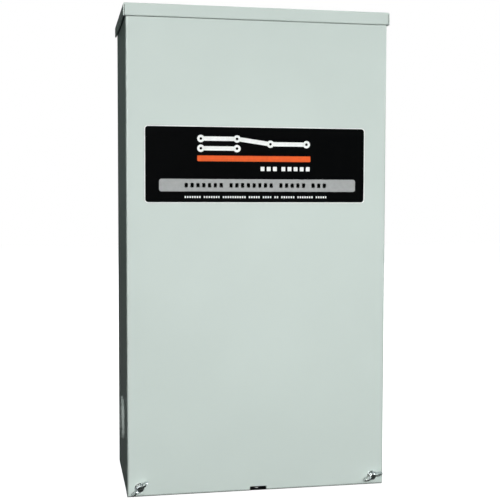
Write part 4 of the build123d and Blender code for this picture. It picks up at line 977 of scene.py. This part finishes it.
def relay_leads():
    """Up the panel to the left of the fuse block and then across the socket's front."""
    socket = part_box("relay_socket")[0]
    fuse_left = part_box("fuse_block")[0].x
    level = socket.z + 6 * MM
    for name, color, row, lane, across in (
        ("relay_lead_a", "blue", 8, 0, 8 * MM),
        ("relay_lead_b", "red", 9, 1, 23 * MM),
    ):
        x = fuse_left - 4 * MM - lane * LANE_WIDTH
        front = socket.y - (3 + 3 * lane) * MM
        points = off_screw(row) + [
            (x, HARNESS_Y - LANE_WIDTH, row_z(row)),
            (x, HARNESS_Y, row_z(row) + 12 * MM),
            (x, HARNESS_Y, level - 12 * MM),
            (x + 2 * MM, front, level),
            (socket.x + across, front, level),
            (socket.x + across, socket.y + 1 * MM, level),
        ]
        add_wire(name, color, points)


def fuse_leads():
    """Up the harness and into the lower ends of the fuse block."""
    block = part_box("fuse_block")[0]
    for name, color, row, lane, across in (
        ("fuse_lead_a", "black", 6, 0, 13 * MM),
        ("fuse_lead_b", "white", 7, 1, 31 * MM),
    ):
        end = block + Vector((across, 11 * MM, 6 * MM))
        over = end.z - (18 + 4 * lane) * MM
        points = to_lane(row, lane) + [
            (lane_x(lane), HARNESS_Y, row_z(row) + 10 * MM),
            (lane_x(lane), HARNESS_Y, over),
            (end.x, HARNESS_Y - 2 * MM, over),
            (end.x, end.y - 3 * MM, end.z - 3 * MM),
            end,
        ]
        add_wire(name, color, points)


coil_leads()
limit_leads()
relay_leads()
fuse_leads()


# ---------------------------------------------------------------- studio
CAMERA_AZIMUTH = -10.95
CAMERA_ELEVATION = 3.18
CAMERA_ROLL = 0.14
CAMERA_DISTANCE = 1.2687
CAMERA_LENS = 70.3
CAMERA_SENSOR = 36
CAMERA_TARGET = Vector((-0.0119, COVER_LOW.y, 0.0031))

FLOOR_DROP = 1 * MM
FLOOR_HALF = 6.0
FLOOR_GLOW = 0.975
FLOOR_GREY = (0.42, 0.42, 0.42, 1)
FLOOR_BOUNCE = (0.035, 0.036, 0.036, 1)

SKY_TINT = (0.62, 1.0, 0.86, 1)
SKY_LEFT, SKY_RIGHT = -0.2, 0.9
SKY_DIMMEST, SKY_BRIGHTEST = 0.04, 0.22


def direction(azimuth, elevation):
    """Unit vector from the object towards a place at this azimuth and elevation, in degrees."""
    a, e = math.radians(azimuth), math.radians(elevation)
    return Vector((math.sin(a) * math.cos(e), -math.cos(a) * math.cos(e), math.sin(e)))


def facing(place, back):
    """Matrix of a camera or a lamp at a place, looking against the vector back."""
    return Matrix.Translation(place) @ back.to_track_quat("Z", "Y").to_matrix().to_4x4()


def add_camera():
    data = bpy.data.cameras.new("camera")
    data.lens = CAMERA_LENS
    data.sensor_width = CAMERA_SENSOR
    camera = add_object("camera", data)
    back = direction(CAMERA_AZIMUTH, CAMERA_ELEVATION)
    roll = Matrix.Rotation(math.radians(CAMERA_ROLL), 4, "Z")
    camera.matrix_world = facing(CAMERA_TARGET + back * CAMERA_DISTANCE, back) @ roll
    bpy.context.scene.camera = camera


def add_softbox(name, azimuth, elevation, distance, size, watts, diffuse=True, glossy=True):
    """A rectangular lamp aimed at the origin. It may be left out of the diffuse or the glossy light."""
    data = bpy.data.lights.new(name, "AREA")
    data.shape = "RECTANGLE"
    data.size, data.size_y = size
    data.energy = watts
    lamp = add_object(name, data)
    back = direction(azimuth, elevation)
    lamp.matrix_world = facing(back * distance, back)
    lamp.visible_camera = False
    lamp.visible_diffuse = diffuse
    lamp.visible_glossy = glossy


def stage_material():
    """Pale floor: seen almost white by the camera, and a dim grey by the light that bounces off it."""
    material = bpy.data.materials.new("pale_stage")
    n = Nodes(material)
    seen = n.node("ShaderNodeLightPath").outputs["Is Camera Ray"]
    lit = n.node("ShaderNodeBsdfDiffuse", Color=FLOOR_GREY).outputs[0]
    glow = n.node("ShaderNodeEmission", Color=WHITE, Strength=FLOOR_GLOW).outputs[0]
    pale = n.ordered("ShaderNodeAddShader", None, lit, glow).outputs[0]
    bounce = n.node("ShaderNodeBsdfDiffuse", Color=FLOOR_BOUNCE).outputs[0]
    surface = n.ordered("ShaderNodeMixShader", None, seen, bounce, pale).outputs[0]
    n.node("ShaderNodeOutputMaterial", Surface=surface)
    return material


def add_floor():
    level = CAD_LOW.z - FLOOR_DROP
    corners = [(x * FLOOR_HALF, y * FLOOR_HALF, level) for x, y in ((-1, -1), (1, -1), (1, 1), (-1, 1))]
    data = bpy.data.meshes.new("floor")
    data.from_pydata(corners, [], [(0, 1, 2, 3)])
    data.materials.append(stage_material())
    add_object("floor", data)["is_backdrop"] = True


def add_world():
    """White to the camera. To everything else dim and green, and darkest on the left."""
    world = bpy.data.worlds.new("studio")
    n = Nodes(world)
    seen = n.node("ShaderNodeLightPath").outputs["Is Camera Ray"]
    place = n.node("ShaderNodeTexCoord").outputs["Generated"]
    across = n.node("ShaderNodeSeparateXYZ", Vector=place).outputs["X"]
    dim = n.spread(across, SKY_LEFT, SKY_RIGHT, SKY_DIMMEST, SKY_BRIGHTEST)
    strength = n.node("ShaderNodeMix", Factor=seen, A=dim, B=1.0).outputs[0]
    sky = n.node("ShaderNodeBackground", Color=n.blend(seen, SKY_TINT, WHITE), Strength=strength)
    n.node("ShaderNodeOutputWorld", Surface=sky.outputs[0])
    bpy.context.scene.world = world


def light_studio():
    add_softbox("key", -5.0, 5, distance=5.0, size=(1.2, 1.2), watts=146, glossy=False)
    add_softbox("fill", 6, 1, distance=1.0, size=(0.4, 0.4), watts=2.5, glossy=False)
    add_softbox("top", 180, 80, distance=3.0, size=(2.0, 1.6), watts=34)
    add_softbox("bend_glint", -52, 8, distance=2.4, size=(0.4, 2.4), watts=60, diffuse=False)
    add_softbox("rear", 150, 20, distance=4.0, size=(2.0, 2.0), watts=90)
    add_softbox("metal_glint", 62, 30, distance=2.6, size=(0.7, 1.6), watts=60, diffuse=False)
    add_softbox("front_glint", -24, 34, distance=2.6, size=(0.9, 0.7), watts=40, diffuse=False)


bpy.context.scene.view_settings.view_transform = "Standard"
add_camera()
add_floor()
add_world()
light_studio()
